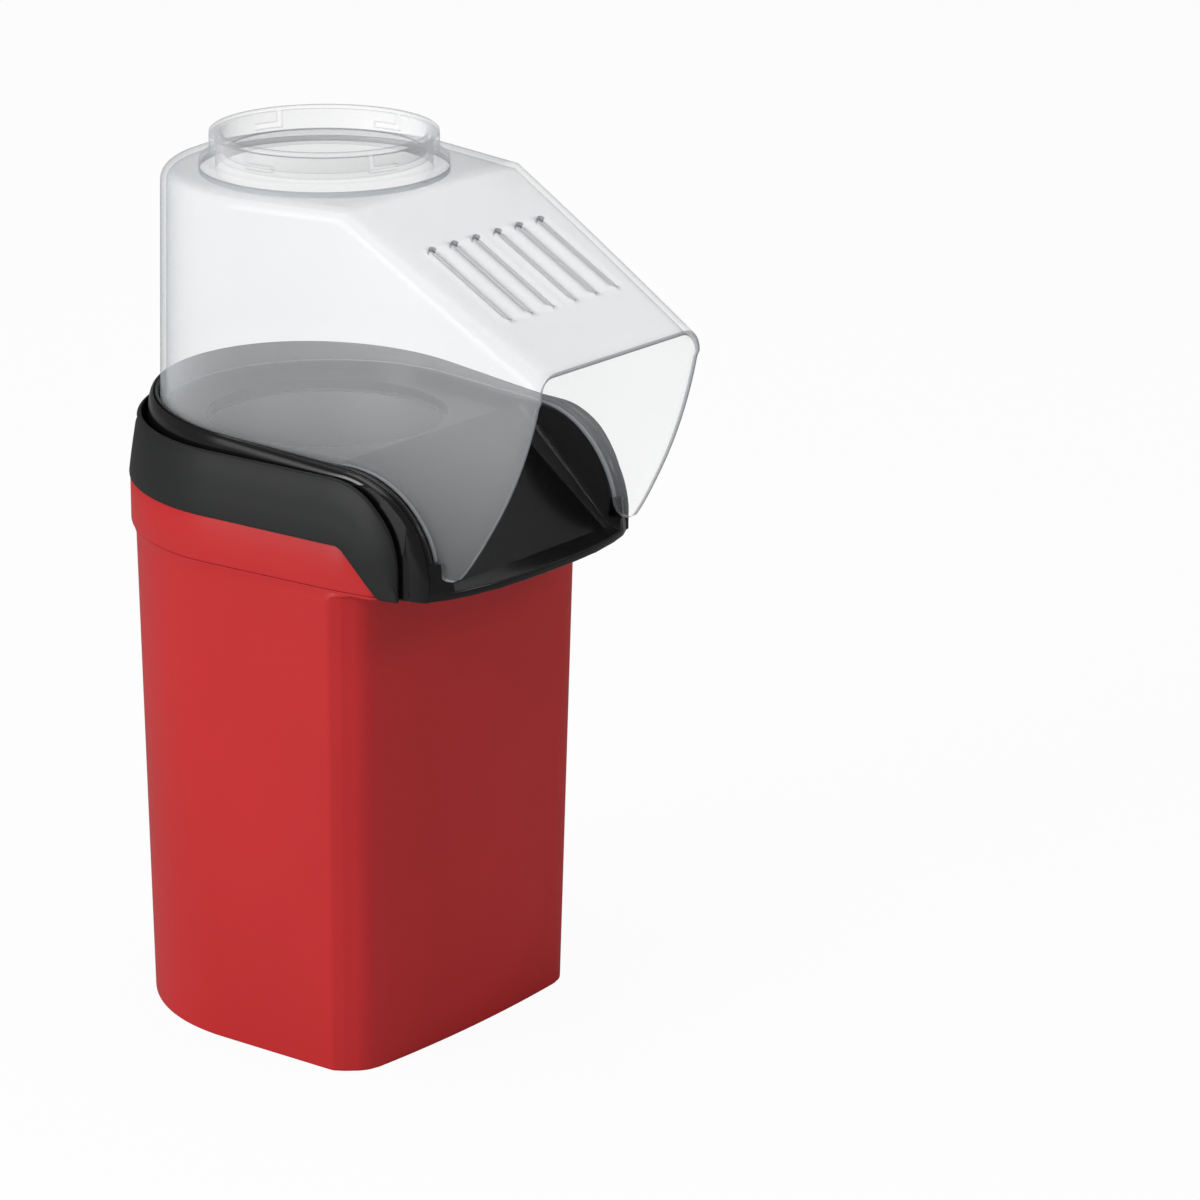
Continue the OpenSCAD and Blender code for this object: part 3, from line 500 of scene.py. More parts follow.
# Finishes of the nodes that keep their own mesh.
NODE_FINISH = {
    "base_plate": body_red,
    "chute_tray": tray_black,
    "fan_housing fan_impeller": moulded("fan plastic", (0.025, 0.025, 0.027), 0.5, 1800, 0.02),
    "motor_end_cap": moulded("motor end cap plastic", (0.03, 0.03, 0.033), 0.5, 1800, 0.02),
    "switch_body": moulded("switch body plastic", (0.016, 0.016, 0.017), 0.45, 2000, 0.02),
    "switch_rocker": moulded("rocker plastic", (0.014, 0.014, 0.015), 0.22, 900, 0.006, sway=0.03),
    "diodes": moulded("diode resin", (0.02, 0.02, 0.02), 0.4, 2500, 0.01),
    "rubber_feet": moulded("foot rubber", (0.02, 0.02, 0.02), 0.8, 1400, 0.05),
    "cord_gland": moulded("gland rubber", (0.015, 0.015, 0.015), 0.7, 1400, 0.04),
    "chamber_gasket": moulded("fibre gasket", (0.05, 0.05, 0.052), 0.9, 900, 0.12, spread=0.15),
    "mica_boards": moulded("mica board", (0.55, 0.45, 0.28), 0.35, 350, 0.05, spread=0.25),
    "rectifier_board": moulded("fibreglass board", (0.03, 0.17, 0.07), 0.4, 1200, 0.02,
                               spread=0.1),
    "thermal_fuse": moulded("fuse ceramic", (0.72, 0.70, 0.62), 0.6, 900, 0.03),
    "internal_leads": moulded("silicone lead", (0.68, 0.68, 0.70), 0.5, 900, 0.03),
    "motor_magnets": moulded("ferrite", (0.06, 0.06, 0.065), 0.6, 700, 0.05),
    "popping_chamber": metal("spun aluminium", (0.78, 0.79, 0.80), 0.34, stretch=(1, 1, 40)),
    "air_duct heater_sleeve": metal("duct sheet steel", (0.60, 0.61, 0.62), 0.4),
    "motor_can": metal("motor can steel", (0.62, 0.63, 0.65), 0.32, stretch=(1, 1, 60)),
    "thermostat": metal("thermostat can", (0.58, 0.58, 0.60), 0.35),
    "base_screws tray_screws duct_screws fan_housing_screws motor_screws motor_shaft": metal(
        "screw zinc", (0.58, 0.58, 0.60), 0.3, stretch=(1, 1, 1), streak=900),
    "heater_coils": metal("oxidised coil wire", (0.30, 0.26, 0.24), 0.5, stretch=(1, 1, 1),
                          streak=700),
    "armature": winding_finish(),
}
for names, finish in NODE_FINISH.items():
    for name in names.split():
        mesh = frame["nodes"][name].data
        mesh.materials.clear()
        mesh.materials.append(finish.material)


# -------------------------------- red body

def body_plan():
    """The body at its foot: a bowed front, bevelled corners, straight sides and a round back. The
    bow moves each front point back by crown (x / half width)^2."""
    corner_y = -BODY_FRONT + FRONT_CROWN * (FRONT_HALF / BODY_HALF) ** 2
    half = half_plan(BODY_R, [(0, corner_y), (FRONT_HALF, corner_y)] + BODY_BEVEL, BODY_BLENDS,
                     PLAN_COUNTS, BACK_X, BACK_COUNTS)
    x = np.minimum(half[:, 0], FRONT_HALF)
    front = half[:, 1] < corner_y + 0.01
    half[front, 1] = -BODY_FRONT + FRONT_CROWN * (x[front] / BODY_HALF) ** 2
    return whole(half)


def belt_plan():
    """The shoulder belt: like the body, with cheeks that reach forwards beside the chute."""
    return whole(half_plan(BELT_R, BELT_CORNERS, BELT_BLENDS, PLAN_COUNTS, BACK_X, BACK_COUNTS))


def belt_edge(plan):
    """Height of the belt's edge: the rim, or the slope down to the lip, whichever is lower, with
    the corner between them eased, and level with the lip between the cheeks."""
    x, y = plan.T
    slope = LIP_Z + (y + CHEEK_FRONT) * (RIM_Z - LIP_Z) / (CHEEK_FRONT - CHEEK_BACK) - CHEEK_SINK
    rim = RIM_Z - RIM_SINK
    ease = np.clip(1 - np.abs(slope - rim) / CHEEK_EASE, 0, 1)
    lowest = LIP_Z + LIP_RISE
    edge = np.maximum(np.minimum(slope, rim) - 0.5 * ease ** 2, lowest)
    return np.where((np.abs(x) < CHUTE_HALF) & (y < 0), lowest, edge)


def housing_form():
    """Levels carried round the plan: out from the foot, up the drafted wall, out over the step and
    its seam to the belt, over the rim and down the inside, closed into a ring of solid wall. The
    openings for the switch and the gland are left out and lined."""
    low, high = body_plan(), belt_plan()
    low_n, high_n = outward(low), outward(high)
    front = np.clip((-low[:, 1] - FRONT_FROM) / FRONT_EASE, 0, 1)
    step_z = STEP_Z + front * FRONT_STEP
    edge = belt_edge(high)

    def wall(inset, z):
        level = row(low, low_n, inset, z)
        level[:, :2] *= (1 + BODY_DRAFT * np.asarray(z)).reshape(-1, 1)
        return level

    def belt(inset, z):
        return row(high, high_n, inset, z)

    heights = [GLAND_Z - GLAND_CUT, GLAND_Z + GLAND_CUT,
               SWITCH_Z - SWITCH_CUT[1], SWITCH_Z + SWITCH_CUT[1]]
    levels = [wall(inset, FOOT_Z + rise) for inset, rise in FOOT_EDGE]
    outer = len(levels)
    levels += [wall(0, z) for z in heights + WALL_HEIGHTS]
    levels += [wall(inset, step_z + rise) for inset, rise in STEP_EDGE]
    levels += [belt(inset, SEAM_Z + rise) for inset, rise in SEAM_EDGE]
    levels += [belt(0, np.minimum(SEAM_Z + 0.9, edge - 0.3))]
    levels += [belt(inset, edge + rise) for inset, rise in RIM_EDGE]
    levels += [belt(BELT_WALL, np.minimum(edge - 0.6, SEAM_Z + 1.5)),
               wall(BODY_WALL, np.minimum(SEAM_Z + 1.4, edge - 0.7))]
    inner = len(levels) + len(heights) - 1
    levels += [wall(BODY_WALL, z) for z in heights[::-1]]
    levels += [wall(BODY_WALL, FOOT_Z + FOOT_CHAMFER), wall(BODY_WALL - FOOT_CHAMFER, FOOT_Z)]
    points = np.stack(levels, 1)

    skip = np.zeros(points.shape[:2], bool)
    form = Form()
    for half_width, sill in ((SWITCH_CUT[0], 2), (GLAND_CUT, 0)):
        span = np.flatnonzero((low[:, 1] > 0) & (np.abs(low[:, 0]) < half_width + 0.01))
        low_out, top_out = outer + sill, outer + sill + 1
        low_in, top_in = inner - sill, inner - sill - 1
        skip[span[:-1], low_out] = skip[span[:-1], top_in] = True
        form.grid(points[span][:, [low_out, low_in]])
        form.grid(points[span][:, [top_out, top_in]], turned=True)
        for column, flip in ((span[0], True), (span[-1], False)):
            form.jamb(points, column, [low_out, top_out], [low_in, top_in], flip)
    return form.grid(points, wrap_u=True, wrap_v=True, skip=skip)


def rounded_rectangle(half_x, half_z, radius):
    """A closed loop of four quarter circles, anticlockwise seen from -Y, as (x, z)."""
    corners = ((1, -1, -90), (1, 1, 0), (-1, 1, 90), (-1, -1, 180))
    return np.concatenate([arc((sx * (half_x - radius), sz * (half_z - radius)), radius,
                               start, start + 90, 7) for sx, sz, start in corners])


def switch_pad(form):
    """The flat pad round the switch: a rounded frame whose edge is eased, set into the wall."""
    outer = rounded_rectangle(*PAD_HALF, PAD_CORNER)
    inner = rounded_rectangle(*SWITCH_CUT, SWITCH_CORNER)

    def loop(plan, grow, y):
        size = np.abs(plan).max(0)
        scaled = plan * (1 + grow / size)
        return np.c_[scaled[:, 0], np.full(len(plan), y), scaled[:, 1] + SWITCH_Z]

    rows = [loop(inner, 0, PAD_FOOT_Y), loop(outer, PAD_EDGE[0][0], PAD_FOOT_Y)]
    rows += [loop(outer, grow, PAD_Y - depth) for grow, depth in PAD_EDGE]
    rows += [loop(inner, 0.2, PAD_Y), loop(inner, 0, PAD_Y - 0.2)]
    return form.grid(np.stack(rows, 1), wrap_u=True, wrap_v=True, turned=True)


piece("housing_shell", switch_pad(housing_form()), [body_red], "base", ("housing",))


# -------------------------------- collar, band and lip

# The collar's right side in plan, from the arm's front to the middle of the back; y only rises
# over its first SIDE_RISING points, and over the seat's first SEAT_RISING.
SIDE = resample(half_plan(COLLAR_R, COLLAR_CORNERS, COLLAR_BLENDS, (3, 3, 3), (), (60,), 9), 600)
SIDE_N = half_outward(SIDE)
SIDE_RUN = lengths(SIDE)
SIDE_RISING, SEAT_RISING = 450, 300
ARM_COUNTS = (14, 22)


def arm_path(front, bend, top):
    """Side view of an arm's edge as (y, z): up its front, round the bend and on to the level."""
    corner = (-front + bend, top - bend)
    return join(resample([(-front, LIP_Z), (-front, corner[1])], ARM_COUNTS[0]),
                arc(corner, bend, 180, 90, ARM_COUNTS[1]))


def run_at(y):
    """Distance along the collar's side at which it reaches y, for the arms and the sides."""
    return np.interp(y, SIDE[:SIDE_RISING, 1], SIDE_RUN[:SIDE_RISING])


def onward(run, end, count):
    """Distances along an arm's edge, and then count more at even steps to the end."""
    return np.r_[run, np.linspace(run[-1], end, count + 1)[1:]]


def on_wall(run, z, inset):
    """A point of the collar's face: distance along its plan, height, and depth below the face. The
    face leans in above the rim, by a share of the lean that grows as a power of the rise."""
    rise = np.clip((z - RIM_Z) / (COLLAR_TOP - RIM_Z), 0, LEAN_MOST)
    depth = inset + COLLAR_LEAN * rise ** LEAN_POWER
    x, y = (np.interp(run, SIDE_RUN, column) for column in SIDE.T)
    normal = [np.interp(run, SIDE_RUN, column) for column in SIDE_N.T]
    return np.stack([x - normal[0] * depth, y - normal[1] * depth, z + 0 * run], -1)


def collar_form():
    """Rulings run from the collar's upper edge to its lower edge over its leaning face; the edge is
    rounded by a quarter circle, and the wall is closed across its top, inside and underside."""
    columns = 78
    upper = arm_path(ARM_FRONT, ARM_BEND, COLLAR_TOP)
    lower = np.array([(-ARM_FRONT, LIP_Z), (-CHEEK_FRONT - 0.8, LIP_Z),
                      (-CHEEK_FRONT + 0.4, LIP_Z + 0.8), (-CHEEK_BACK - 1.2, RIM_Z - 0.9),
                      (-CHEEK_BACK + 0.9, RIM_Z)])
    lower = resample(lower, len(upper))
    run_u, run_l = (onward(run_at(line[:, 0]), SIDE_RUN[-1], columns) for line in (upper, lower))
    z_u = np.r_[upper[:, 1], np.full(columns, COLLAR_TOP)]
    z_l = np.r_[lower[:, 1], np.full(columns, RIM_Z)]
    reach = np.maximum(np.hypot(run_l - run_u, z_l - z_u), 0.01)
    most = 0.45    # rows near an edge stay on its side of the face where the arm runs out

    def across(share, inset):
        """The row at a share of the way down the face."""
        return on_wall(run_u + (run_l - run_u) * share, z_u + (z_l - z_u) * share, inset)

    def below(distance, inset):
        """The row at a distance below the upper edge."""
        return across(np.clip(distance / reach, 0, most), inset)

    def above(distance, inset):
        """The row at a distance above the lower edge."""
        return across(1 - np.clip(distance / reach, 0, most), inset)

    rows = [below(1.2, COLLAR_WALL), below(0.5, COLLAR_WALL - 0.1), below(0.15, COLLAR_WALL - 0.3)]
    rows += [below(BEAD_R * (1 - math.cos(a)), BEAD_R * (1 - math.sin(a)))
             for a in np.radians([90, 70, 50, 30, 12, 0])]
    rows += [across(0.22, 0), across(0.45, 0), across(0.68, 0), above(0.8, 0), above(0.25, 0.1),
             above(0, 0.35), above(0, COLLAR_WALL), across(0.5, COLLAR_WALL)]
    return Form().grid(both_sides(np.stack(rows, 1)), wrap_v=True, turned=True)


def band_form():
    """The rolled band between the collar and the hood: at each station a quarter of a
    superellipse rises from inside the collar's edge and runs in to the hood's edge, with a
    shallow crease across its crown."""
    columns = 96
    outer = arm_path(ARM_FRONT, ARM_BEND, COLLAR_TOP)
    inner = arm_path(BAND_FRONT, BAND_BEND, BAND_TOP)
    run = onward(run_at(outer[:, 0]), SIDE_RUN[-1], columns)
    foot = on_wall(run, np.r_[outer[:, 1], np.full(columns, COLLAR_TOP)], BAND_GAP)
    plan = resample(half_plan(BAND_R, BAND_CORNERS, (2.0,), (30, 30), (), (70,)), 500)
    plan_run = lengths(plan)
    inner_run = np.interp(inner[:, 0], plan[:SEAT_RISING, 1], plan_run[:SEAT_RISING])
    inner_run = onward(inner_run, plan_run[-1], columns)
    x, y = (np.interp(inner_run, plan_run, column) for column in plan.T)
    y[:len(inner)] = inner[:, 0]
    top = BAND_TOP + BAND_RISE * (y + BAND_FRONT - BAND_BEND)
    top[:len(inner)] = inner[:, 1]
    turn = np.r_[np.full(ARM_COUNTS[0] - 1, 0.0), np.linspace(0, math.pi / 2, ARM_COUNTS[1]),
                 np.full(columns, math.pi / 2)]
    up = np.stack([0 * turn, -np.cos(turn), np.sin(turn)], -1)
    span = np.stack([x, y, top], -1) - foot
    rise = (span * up).sum(1, keepdims=True)
    across = span - up * rise

    def crown(over, along, depth):
        """The row at shares of the way over to the hood and up to the crown, and a depth below."""
        return foot + across * over + up * (rise * along - depth)

    rows = [crown(*at) for at in BAND_FOOT]
    for angle in np.radians([0, 14, 28, 42, 56, 70, 82]):
        c, s = math.cos(angle), math.sin(angle)
        rows.append(crown(0.06 + 0.48 * (1 - c ** 0.9), s ** 0.8, -0.8 * s + 1.5 * (1 - s)))
    rows += [crown(*at) for at in BAND_CROWN]
    points = both_sides(np.stack(rows, 1))
    return Form().grid(points, wrap_v=True).fan(points[0], turned=True).fan(points[-1])


def lip_form():
    """The lip below the chute: a level plate whose edge has a quarter circle above and below, round
    a plan that bows forwards as y = -front + bow (x / half)^2.6 and turns back beside the arms."""
    x = np.linspace(0, LIP_HALF, 30)
    front = np.c_[x, -LIP_FRONT + LIP_BOW * (x / LIP_HALF) ** 2.6]
    half = resample(join(front, np.array(LIP_SIDE)), 60)
    loop = np.concatenate([(half * [-1, 1])[:0:-1], half])
    normal = outward(loop, closed=False)
    rows = [row(loop, normal, LIP_DEPTH, LIP_LOW)]
    for centre, start in ((LIP_LOW + LIP_EDGE, -90), (LIP_HIGH - LIP_EDGE, 0)):
        rows += [row(loop, normal, LIP_EDGE * (1 - math.cos(a)), centre + LIP_EDGE * math.sin(a))
                 for a in np.radians([start, start + 30, start + 60, start + 90])]
    rows += [row(loop, normal, LIP_DEPTH, LIP_HIGH)]
    points = np.stack(rows, 1)
    return Form().grid(points, wrap_v=True).fan(points[0], turned=True).fan(points[-1])


piece("collar_shell", collar_form(), [collar_black], "base", ("collar",))
piece("tray_band", band_form(), [tray_black], "base")
piece("chute_lip", lip_form(), [tray_black], "base")


# -------------------------------- hood

SLOPE_FALL = (HOOD_TOP - MOUTH_Z) / (MOUTH_Y - CREASE_Y)
SLOPE = math.atan(SLOPE_FALL)
SLOT_REACH = (SLOT_LEN - SLOT_W) / 2 * math.cos(SLOPE)
SLOT_NEAR, SLOT_FAR = -SLOT_MID - SLOT_REACH, -SLOT_MID + SLOT_REACH
SLOT_X = [SLOT_PITCH * (i + 0.5) for i in range(SLOTS // 2)]
SLOT_STEPS = np.array([-1.0, -0.86, -0.5, 0, 0.5, 0.86, 1.0]) * SLOT_W / 2
ROOF_X = np.concatenate([[0.0, 2.0, 10.7, 21.4, 30.2]] + [x + SLOT_STEPS for x in SLOT_X])
ROOF_X = np.sort(ROOF_X)[::-1]

WALL_ROWS, FILLET_ROWS, BACK_COLUMNS, TURN_COLUMNS = 26, 7, 52, 6


def side_x(y, z):
    """Half width of the hood at y and z: straight lines from the tangent to the round back, at the
    seat and at the shoulder, mixed by height."""
    low, high = (np.interp(y, *zip(*side)) for side in (SEAT_SIDE, SHOULDER_SIDE))
    return low + (high - low) * (z - SIDE_FOOT) / SIDE_RISE


def roof_z(y):
    """The flat top, and the slope from the crease down to the mouth."""
    return HOOD_TOP - SLOPE_FALL * np.clip(-CREASE_Y - y, 0, None)


def coons(left, right, bottom, top):
    """A patch between four lines: its two ruled surfaces less the one through its corners."""
    u = np.linspace(0, 1, len(bottom))[:, None, None]
    v = np.linspace(0, 1, len(left))[None, :, None]
    corners = ((1 - u) * (1 - v) * bottom[0] + u * (1 - v) * bottom[-1]
               + (1 - u) * v * top[0] + u * v * top[-1])
    return ((1 - u) * left[None] + u * right[None] + (1 - v) * bottom[:, None] + v * top[:, None]
            - corners)


def roof_rows():
    """y of the rows from the mouth to the crease: the slots' ends are among them."""
    return np.r_[np.linspace(-MOUTH_Y, SLOT_NEAR - 5, 7), SLOT_NEAR - END_GAP,
                 np.linspace(SLOT_NEAR, SLOT_FAR, 10), SLOT_FAR + END_GAP,
                 np.linspace(SLOT_FAR + 5, -CREASE_Y - 1.5, 5), -CREASE_Y]


def hood_side(ys):
    """The straight part of the hood's right wall, worked out in the side view between the mouth's
    edge, the lower edge, the crease's column and the shoulder, and then put at its half width."""
    fillet = np.interp(ys, [-MOUTH_Y, -CREASE_Y], [MOUTH_FILLET, FILLET])
    top = np.stack([ys, roof_z(ys) - fillet], 1)
    turn = np.linspace(*MOUTH_TURN, 120)
    eased = np.clip((MOUTH_TURN[0] - turn) / TIP_EASE, 0, 1)
    reach = MOUTH_BEND + TIP_OVER * (1 - eased ** 2 * (3 - 2 * eased))
    rim = np.array(MOUTH_ARC) + reach[:, None] * np.c_[np.cos(np.radians(turn)),
                                                       np.sin(np.radians(turn))]
    tip_mouth, tip_low, tip_seat = TIP_TURN
    left = join(arc(TIP, TIP_R, tip_low, tip_mouth, 8), rim)
    left = np.concatenate([left[left[:, 1] < top[0, 1]], top[:1]])
    bend_at = (-BAND_FRONT + BAND_BEND, BAND_TOP - BAND_BEND)
    lower = join(arc(TIP, TIP_R, tip_low, tip_seat, 16),
                 arc(bend_at, BAND_BEND + SEAT_LIFT, TIP_JOIN, 90, 24),
                 np.array([(bend_at[0], SEAT_Z), (-CREASE_Y, SEAT_Z)]))
    left = resample(left, WALL_ROWS)
    lower = resample(lower, len(ys))
    lower[0] = left[0]
    right = resample([(-CREASE_Y, SEAT_Z), (-CREASE_Y, top[-1, 1])], WALL_ROWS)
    flat = coons(left, right, lower, top)
    return np.concatenate([side_x(flat[..., :1], flat[..., 1:]), flat], -1), fillet


def shoulder(foot, size, inward):
    """A quarter circle from the wall's top over to the roof, for each point of the wall's top."""
    a = np.linspace(0, math.pi / 2, FILLET_ROWS)[1:]
    size = size[:, None, None]
    return (foot[:, None] + inward[:, None] * (size * (1 - np.cos(a))[None, :, None])
            + np.array([0, 0, 1.0]) * size * np.sin(a)[None, :, None])


def slotted_roof(ys):
    """The roof in front of the crease. The rows at the slots' ends are bent out into half circles,
    and the next rows follow them by a share."""
    bulge = sum(np.sqrt(np.clip((SLOT_W / 2) ** 2 - (ROOF_X - x) ** 2, 0, None)) for x in SLOT_X)

    def at(y):
        return np.isclose(ys, y).astype(float)

    weight = (at(SLOT_FAR) - at(SLOT_NEAR)
              + END_SHARE * (at(SLOT_FAR + END_GAP) - at(SLOT_NEAR - END_GAP)))
    y = ys[:, None] + weight[:, None] * (bulge * math.cos(SLOPE))[None]
    return np.stack([np.broadcast_to(ROOF_X, y.shape), y, roof_z(y)], -1)


def round_back(first_column, roof_edge):
    """The hood behind the crease: a wall between its plans at the seat and at the shoulder, which
    starts with the side's last column, the shoulder, and a flat lid in to the neck's opening. The
    shoulder's direction turns from the side's to the plan's over the first TURN_COLUMNS."""
    plans = (half_plan(radius, corners, (1.0,), (8, 8), (), (60,)) for radius, corners in (
        (SEAT_R, SEAT_CORNERS), (SHOULDER_R, SHOULDER_CORNERS)))
    seat, top = (resample(plan[plan[:, 1] >= -CREASE_Y - 0.1], BACK_COLUMNS) for plan in plans)
    seat[0] = (side_x(-CREASE_Y, SEAT_Z), -CREASE_Y)
    low = np.c_[seat, np.full(BACK_COLUMNS, SEAT_Z)][:, None]
    high = np.c_[top, np.full(BACK_COLUMNS, HOOD_TOP - FILLET)][:, None]
    wall = low + (high - low) * np.linspace(0, 1, WALL_ROWS)[None, :, None]
    wall[0] = first_column
    inward = np.c_[-half_outward(top), np.zeros(BACK_COLUMNS)]
    blend = np.clip(np.arange(BACK_COLUMNS) / TURN_COLUMNS, 0, 1)[:, None]
    inward = np.array([[-1.0, 0, 0]]) * (1 - blend) + inward * blend
    over = shoulder(wall[:, -1], np.full(BACK_COLUMNS, FILLET), inward)
    hole = np.c_[arc((0, 0), LEDGE_R, -90, 90, BACK_COLUMNS - 1),
                 np.full(BACK_COLUMNS - 1, HOOD_TOP)]
    hole = np.concatenate([[[0, -CREASE_Y, HOOD_TOP]], hole])
    along = (1 - ROOF_X / roof_edge)[None, :, None]
    lid = over[:, -1][:, None] * (1 - along) + hole[:, None] * along
    return np.concatenate([wall, over, lid], 1)


def slot_cells(ys, shape):
    """The roof's cells that the slots leave open, on both sides of the middle."""
    skip = np.zeros(shape, bool)
    first, last = (np.argmin(np.abs(ys - y)) for y in (SLOT_NEAR, SLOT_FAR))
    middle = (ROOF_X[:-1] + ROOF_X[1:]) / 2
    inside = np.min([np.abs(middle - x) for x in SLOT_X], 0) < SLOT_W / 2
    columns = WALL_ROWS + FILLET_ROWS - 1 + np.flatnonzero(inside)
    skip[first:last, columns] = skip[shape[0] - last:shape[0] - first, columns] = True
    return skip


def near_slots(skip):
    """Material 2 for cells above an open one, 4 for those beside or below one, 0 for the rest; the
    rims of the first get painted shade and the rims of the second painted light.
    """
    above, beside = np.zeros((2, *skip.shape), bool)
    middle = len(skip) // 2
    beside[:, 1:] |= skip[:, :-1]
    beside[:, :-1] |= skip[:, 1:]
    above[1:middle] |= skip[:middle - 1]
    above[middle:-1] |= skip[middle + 1:]
    beside[:middle] |= skip[1:middle + 1]
    beside[middle:] |= skip[middle - 1:-1]
    return np.where(above, 2, np.where(beside, 4, 0))


def hood_form():
    """The hood's outer sheet: side walls, eased shoulders and slotted roof in front of the crease,
    and the round back behind it."""
    ys = roof_rows()
    wall, fillet = hood_side(ys)
    over = shoulder(wall[:, -1], fillet, np.tile([-1.0, 0, 0], (len(ys), 1)))
    front = np.concatenate([wall, over, slotted_roof(ys)], 1)
    back = round_back(wall[-1], over[-1, -1, 0])
    points = both_sides(np.concatenate([front, back[1:]]))
    skip = slot_cells(ys, (len(points) - 1, points.shape[1] - 1))
    return Form().grid(points, skip=skip, tag=near_slots(skip))


def lathe(profile, count):
    """A profile of (radius, z) turned about the chamber's axis."""
    a = np.linspace(0, 2 * math.pi, count, endpoint=False)
    r, z = np.asarray(profile, float).T
    return np.stack([r[None] * np.cos(a)[:, None], r[None] * np.sin(a)[:, None],
                     np.broadcast_to(z, (count, len(z)))], -1)


def neck_form():
    """The ledge and neck, turned from one closed profile, with four L-shaped slots left open."""
    inner, ledge = NECK_R - NECK_WALL, LEDGE_R - 0.02
    profile = [(inner, LEDGE_LOW), (ledge, LEDGE_LOW), (ledge, LEDGE_Z - 0.5),
               (LEDGE_R - 0.2, LEDGE_Z - 0.15), (LEDGE_R - 0.6, LEDGE_Z), (NECK_R + 0.9, LEDGE_Z),
               (NECK_R + 0.25, LEDGE_Z + 0.3), (NECK_R, LEDGE_Z + 1.0), (NECK_R, BAYONET_Z[0]),
               (NECK_R, BAYONET_Z[1]), (NECK_R, NECK_TOP - 0.5), (NECK_R - 0.15, NECK_TOP - 0.15),
               (NECK_R - 0.5, NECK_TOP), (inner + 0.4, NECK_TOP), (inner, NECK_TOP - 0.3),
               (inner, BAYONET_Z[1]), (inner, BAYONET_Z[0])]
    low_out, top_out, top_in, low_in = 8, 9, 15, 16
    points = lathe(profile, NECK_STEPS)
    skip = np.zeros(points.shape[:2], bool)
    form = Form()
    for angle in BAYONETS:
        start = angle * NECK_STEPS // 360 - 1
        foot = np.arange(start, start + BAYONET_STEPS + 1) % NECK_STEPS
        mouth = foot[:MOUTH_STEPS + 1]
        skip[foot[:-1], low_out] = skip[foot[:-1], top_in] = True
        skip[mouth[:-1], top_out:top_in] = True
        form.grid(points[foot][:, [low_out, low_in]], turned=True)
        form.grid(points[foot[MOUTH_STEPS:]][:, [top_out, top_in]])
        for column, flip in ((foot[-1], False), (foot[0], True)):
            form.jamb(points, column, [low_out, top_out], [low_in, top_in], flip)
        for column, flip in ((mouth[0], True), (mouth[-1], False)):
            form.fan(points[column, top_out:top_in + 1], turned=flip)
    return form.grid(points, wrap_u=True, wrap_v=True, skip=skip)


def cap_form():
    """The measuring cap: a shallow cup with a rim that rests on the neck, its edges eased. Its
    floor is material 2 and the floor's inner corner material 1, which carries painted shade."""
    profile = [(0, CAP_FLOOR), (CAP_R - 1.2, CAP_FLOOR), (CAP_R - 0.35, CAP_FLOOR + 0.35),
               (CAP_R, CAP_FLOOR + 1.2), (CAP_R, CAP_RIM), (NECK_R - 0.3, CAP_RIM),
               (NECK_R - 0.05, CAP_RIM + 0.24), (NECK_R - 0.05, CAP_TOP - 0.38),
               (NECK_R - 0.5, CAP_TOP), (CAP_IN + 0.5, CAP_TOP), (CAP_IN + 0.1, CAP_TOP - 0.28),
               (CAP_IN, CAP_TOP - 0.78), (CAP_IN, CAP_FLOOR + 2.6), (CAP_IN - 0.4, CAP_FLOOR + 1.8),
               (CAP_IN - 1.4, CAP_FLOOR + 1.5), (0, CAP_FLOOR + 1.5)]
    tags = np.zeros((1, len(profile) - 1), int)
    tags[0, [0, -1]] = 2
    tags[0, -2] = 1
    return Form().grid(lathe(profile, 192), wrap_u=True, tag=tags)


# Solidify gives a rim the material after its face's own, so each face material is followed by one
# for its rims: plain sheet, cells above the slots, and cells beside and below them. The rims carry
# painted shade along the cut edges and the slots' ends, and painted light on the slots' side walls.
hood = piece("hood_sheet", hood_form(), [clear, shaded_clear_edge, clear, shaded_slot_end, clear, lightened_slot_wall],
             "cover", ("hood",), sharp=50)
wall_modifier = hood.modifiers.new("wall", "SOLIDIFY")
wall_modifier.thickness = HOOD_WALL / MM_PER_M
wall_modifier.offset = -1
wall_modifier.material_offset_rim = 1
piece("hood_neck", neck_form(), [clear_thin], "cover", ("hood",), sharp=50)
piece("measuring_cup", cap_form(), [clear_thin, shaded_cap_corner, clear_floor], "cap",
      ("measuring_cap",), sharp=50)


# -------------------------------- room, light and camera

# The floor's share of plain white for the lens, its grey, and the air's strength, each with the
# amounts that rays from the lens and mirrored rays add.
FLOOR_SEEN, FLOOR_GREY, FLOOR_MIRRORED = 0.95, 0.85, -0.5
AIR, AIR_SEEN, AIR_MIRRORED = 0.45, 0.55, -0.25


def studio_tree(owner):
    """A material's or world's emptied tree, and Light Path's Is Camera Ray and Is Glossy Ray."""
    owner.use_nodes = True
    tree = owner.node_tree
    tree.nodes.clear()
    return tree, *(make_node(tree, "ShaderNodeLightPath", out=i) for i in (0, 3))


def plain_white():
    """The white floor and backdrop: the lens sees it as nearly white with the object's shadow still
    on it, and glossy faces see it as grey."""
    material = bpy.data.materials.new("studio white")
    tree, seen, mirrored = studio_tree(material)
    white = make_node(tree, "ShaderNodeEmission", Color=(1, 1, 1, 1), Strength=1.0)
    grey = mirrored * FLOOR_MIRRORED + FLOOR_GREY
    cloth = make_node(tree, "ShaderNodeBsdfDiffuse", Color=make_node(
        tree, "ShaderNodeCombineColor", Red=grey, Green=grey, Blue=grey))
    mixed = make_node(tree, "ShaderNodeMixShader",
                      **{"0": seen * FLOOR_SEEN, "1": cloth, "2": white})
    make_node(tree, "ShaderNodeOutputMaterial", **{"0": mixed})
    return material


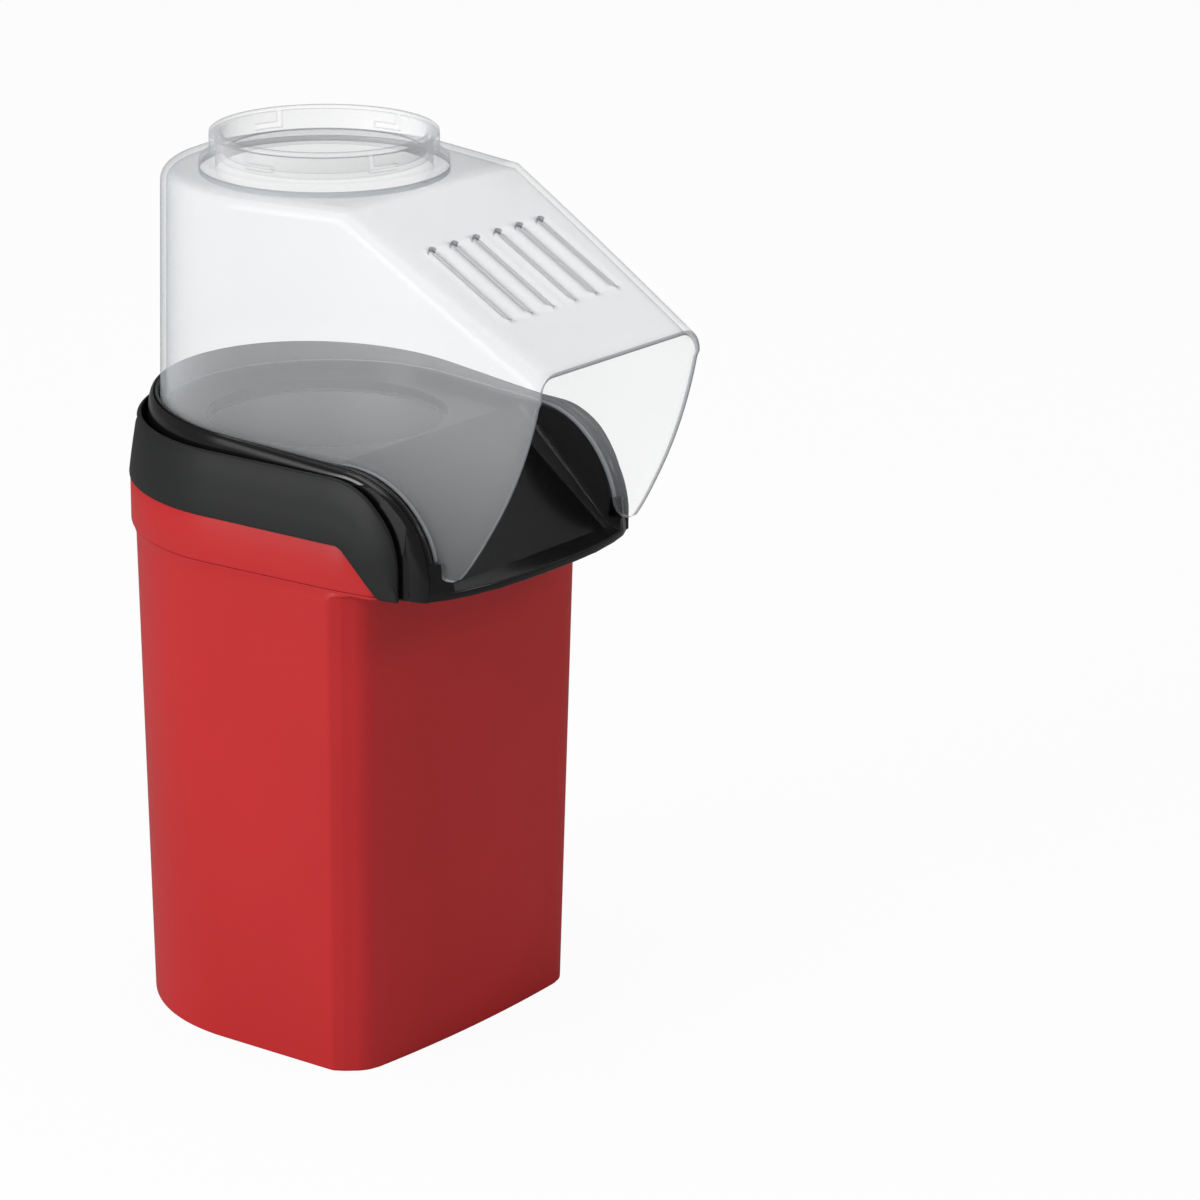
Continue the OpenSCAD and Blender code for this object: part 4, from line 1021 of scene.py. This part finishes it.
def studio():
    """A floor that turns up into a backdrop behind the object, as one swept sheet."""
    back = SWEEP_TURN + SWEEP_R
    profile = join(np.array([(SWEEP_FRONT, 0.0), (SWEEP_TURN, 0.0)]),
                   arc((SWEEP_TURN, SWEEP_R), SWEEP_R, -90, 0, 14),
                   np.array([(back, SWEEP_R), (back, SWEEP_TOP)]))
    xs = np.array([-SWEEP_HALF, SWEEP_HALF])
    angle = math.radians(CAMERA_AZ)
    along = np.array([-math.sin(angle), math.cos(angle)])
    side = np.array([math.cos(angle), math.sin(angle)])
    flat = profile[None, :, :1] * along + xs[:, None, None] * side
    height = np.broadcast_to(profile[None, :, 1:], flat.shape[:2] + (1,))
    mesh = Form().grid(np.concatenate([flat, height], -1)).mesh("studio_sweep")
    mesh.materials.append(plain_white())
    placed("studio_sweep", mesh)


def lamp(name, at, aim, size, power):
    """A square area lamp in millimetres, pointed at aim."""
    data = bpy.data.lights.new(name, "AREA")
    data.shape, data.size, data.energy = "SQUARE", size / MM_PER_M, power
    made = placed(name, data)
    made.location = np.array(at) / MM_PER_M
    x, y, z = (np.array(aim) - np.array(at)) / MM_PER_M
    made.rotation_euler = (math.atan2(math.hypot(x, y), -z), 0, math.atan2(y, x) - math.pi / 2)


def world():
    """Even studio air: white to the lens, soft on the object and darker in its reflections."""
    made = bpy.data.worlds.new("studio air")
    tree, seen, mirrored = studio_tree(made)
    strength = seen * AIR_SEEN + mirrored * AIR_MIRRORED + AIR
    back = make_node(tree, "ShaderNodeBackground", Color=(1, 1, 1, 1), Strength=strength)
    make_node(tree, "ShaderNodeOutputWorld", **{"0": back})
    bpy.context.scene.world = made


def camera():
    """The lens from its bearing, height angle and roll, with no shift."""
    a, e, r = (math.radians(v) for v in (CAMERA_AZ, CAMERA_EL, CAMERA_ROLL))
    back = np.array([math.sin(a) * math.cos(e), -math.cos(a) * math.cos(e), math.sin(e)])
    right = np.array([math.cos(a), math.sin(a), 0])
    up = np.cross(back, right)
    data = bpy.data.cameras.new("camera")
    data.sensor_width = SENSOR
    data.lens = FOCAL_PX / IMAGE_PX * SENSOR
    data.clip_start, data.clip_end = CLIP
    matrix = np.eye(4)
    matrix[:3, 0] = right * math.cos(r) + up * math.sin(r)
    matrix[:3, 1] = -right * math.sin(r) + up * math.cos(r)
    matrix[:3, 2] = back
    matrix[:3, 3] = np.array(CAMERA_AT) / MM_PER_M
    made = placed("camera", data)
    made.matrix_world = Matrix(matrix)
    bpy.context.scene.camera = made


studio()
world()
for settings in LAMPS:
    lamp(*settings)
camera()
bpy.context.scene.view_settings.view_transform = "Standard"
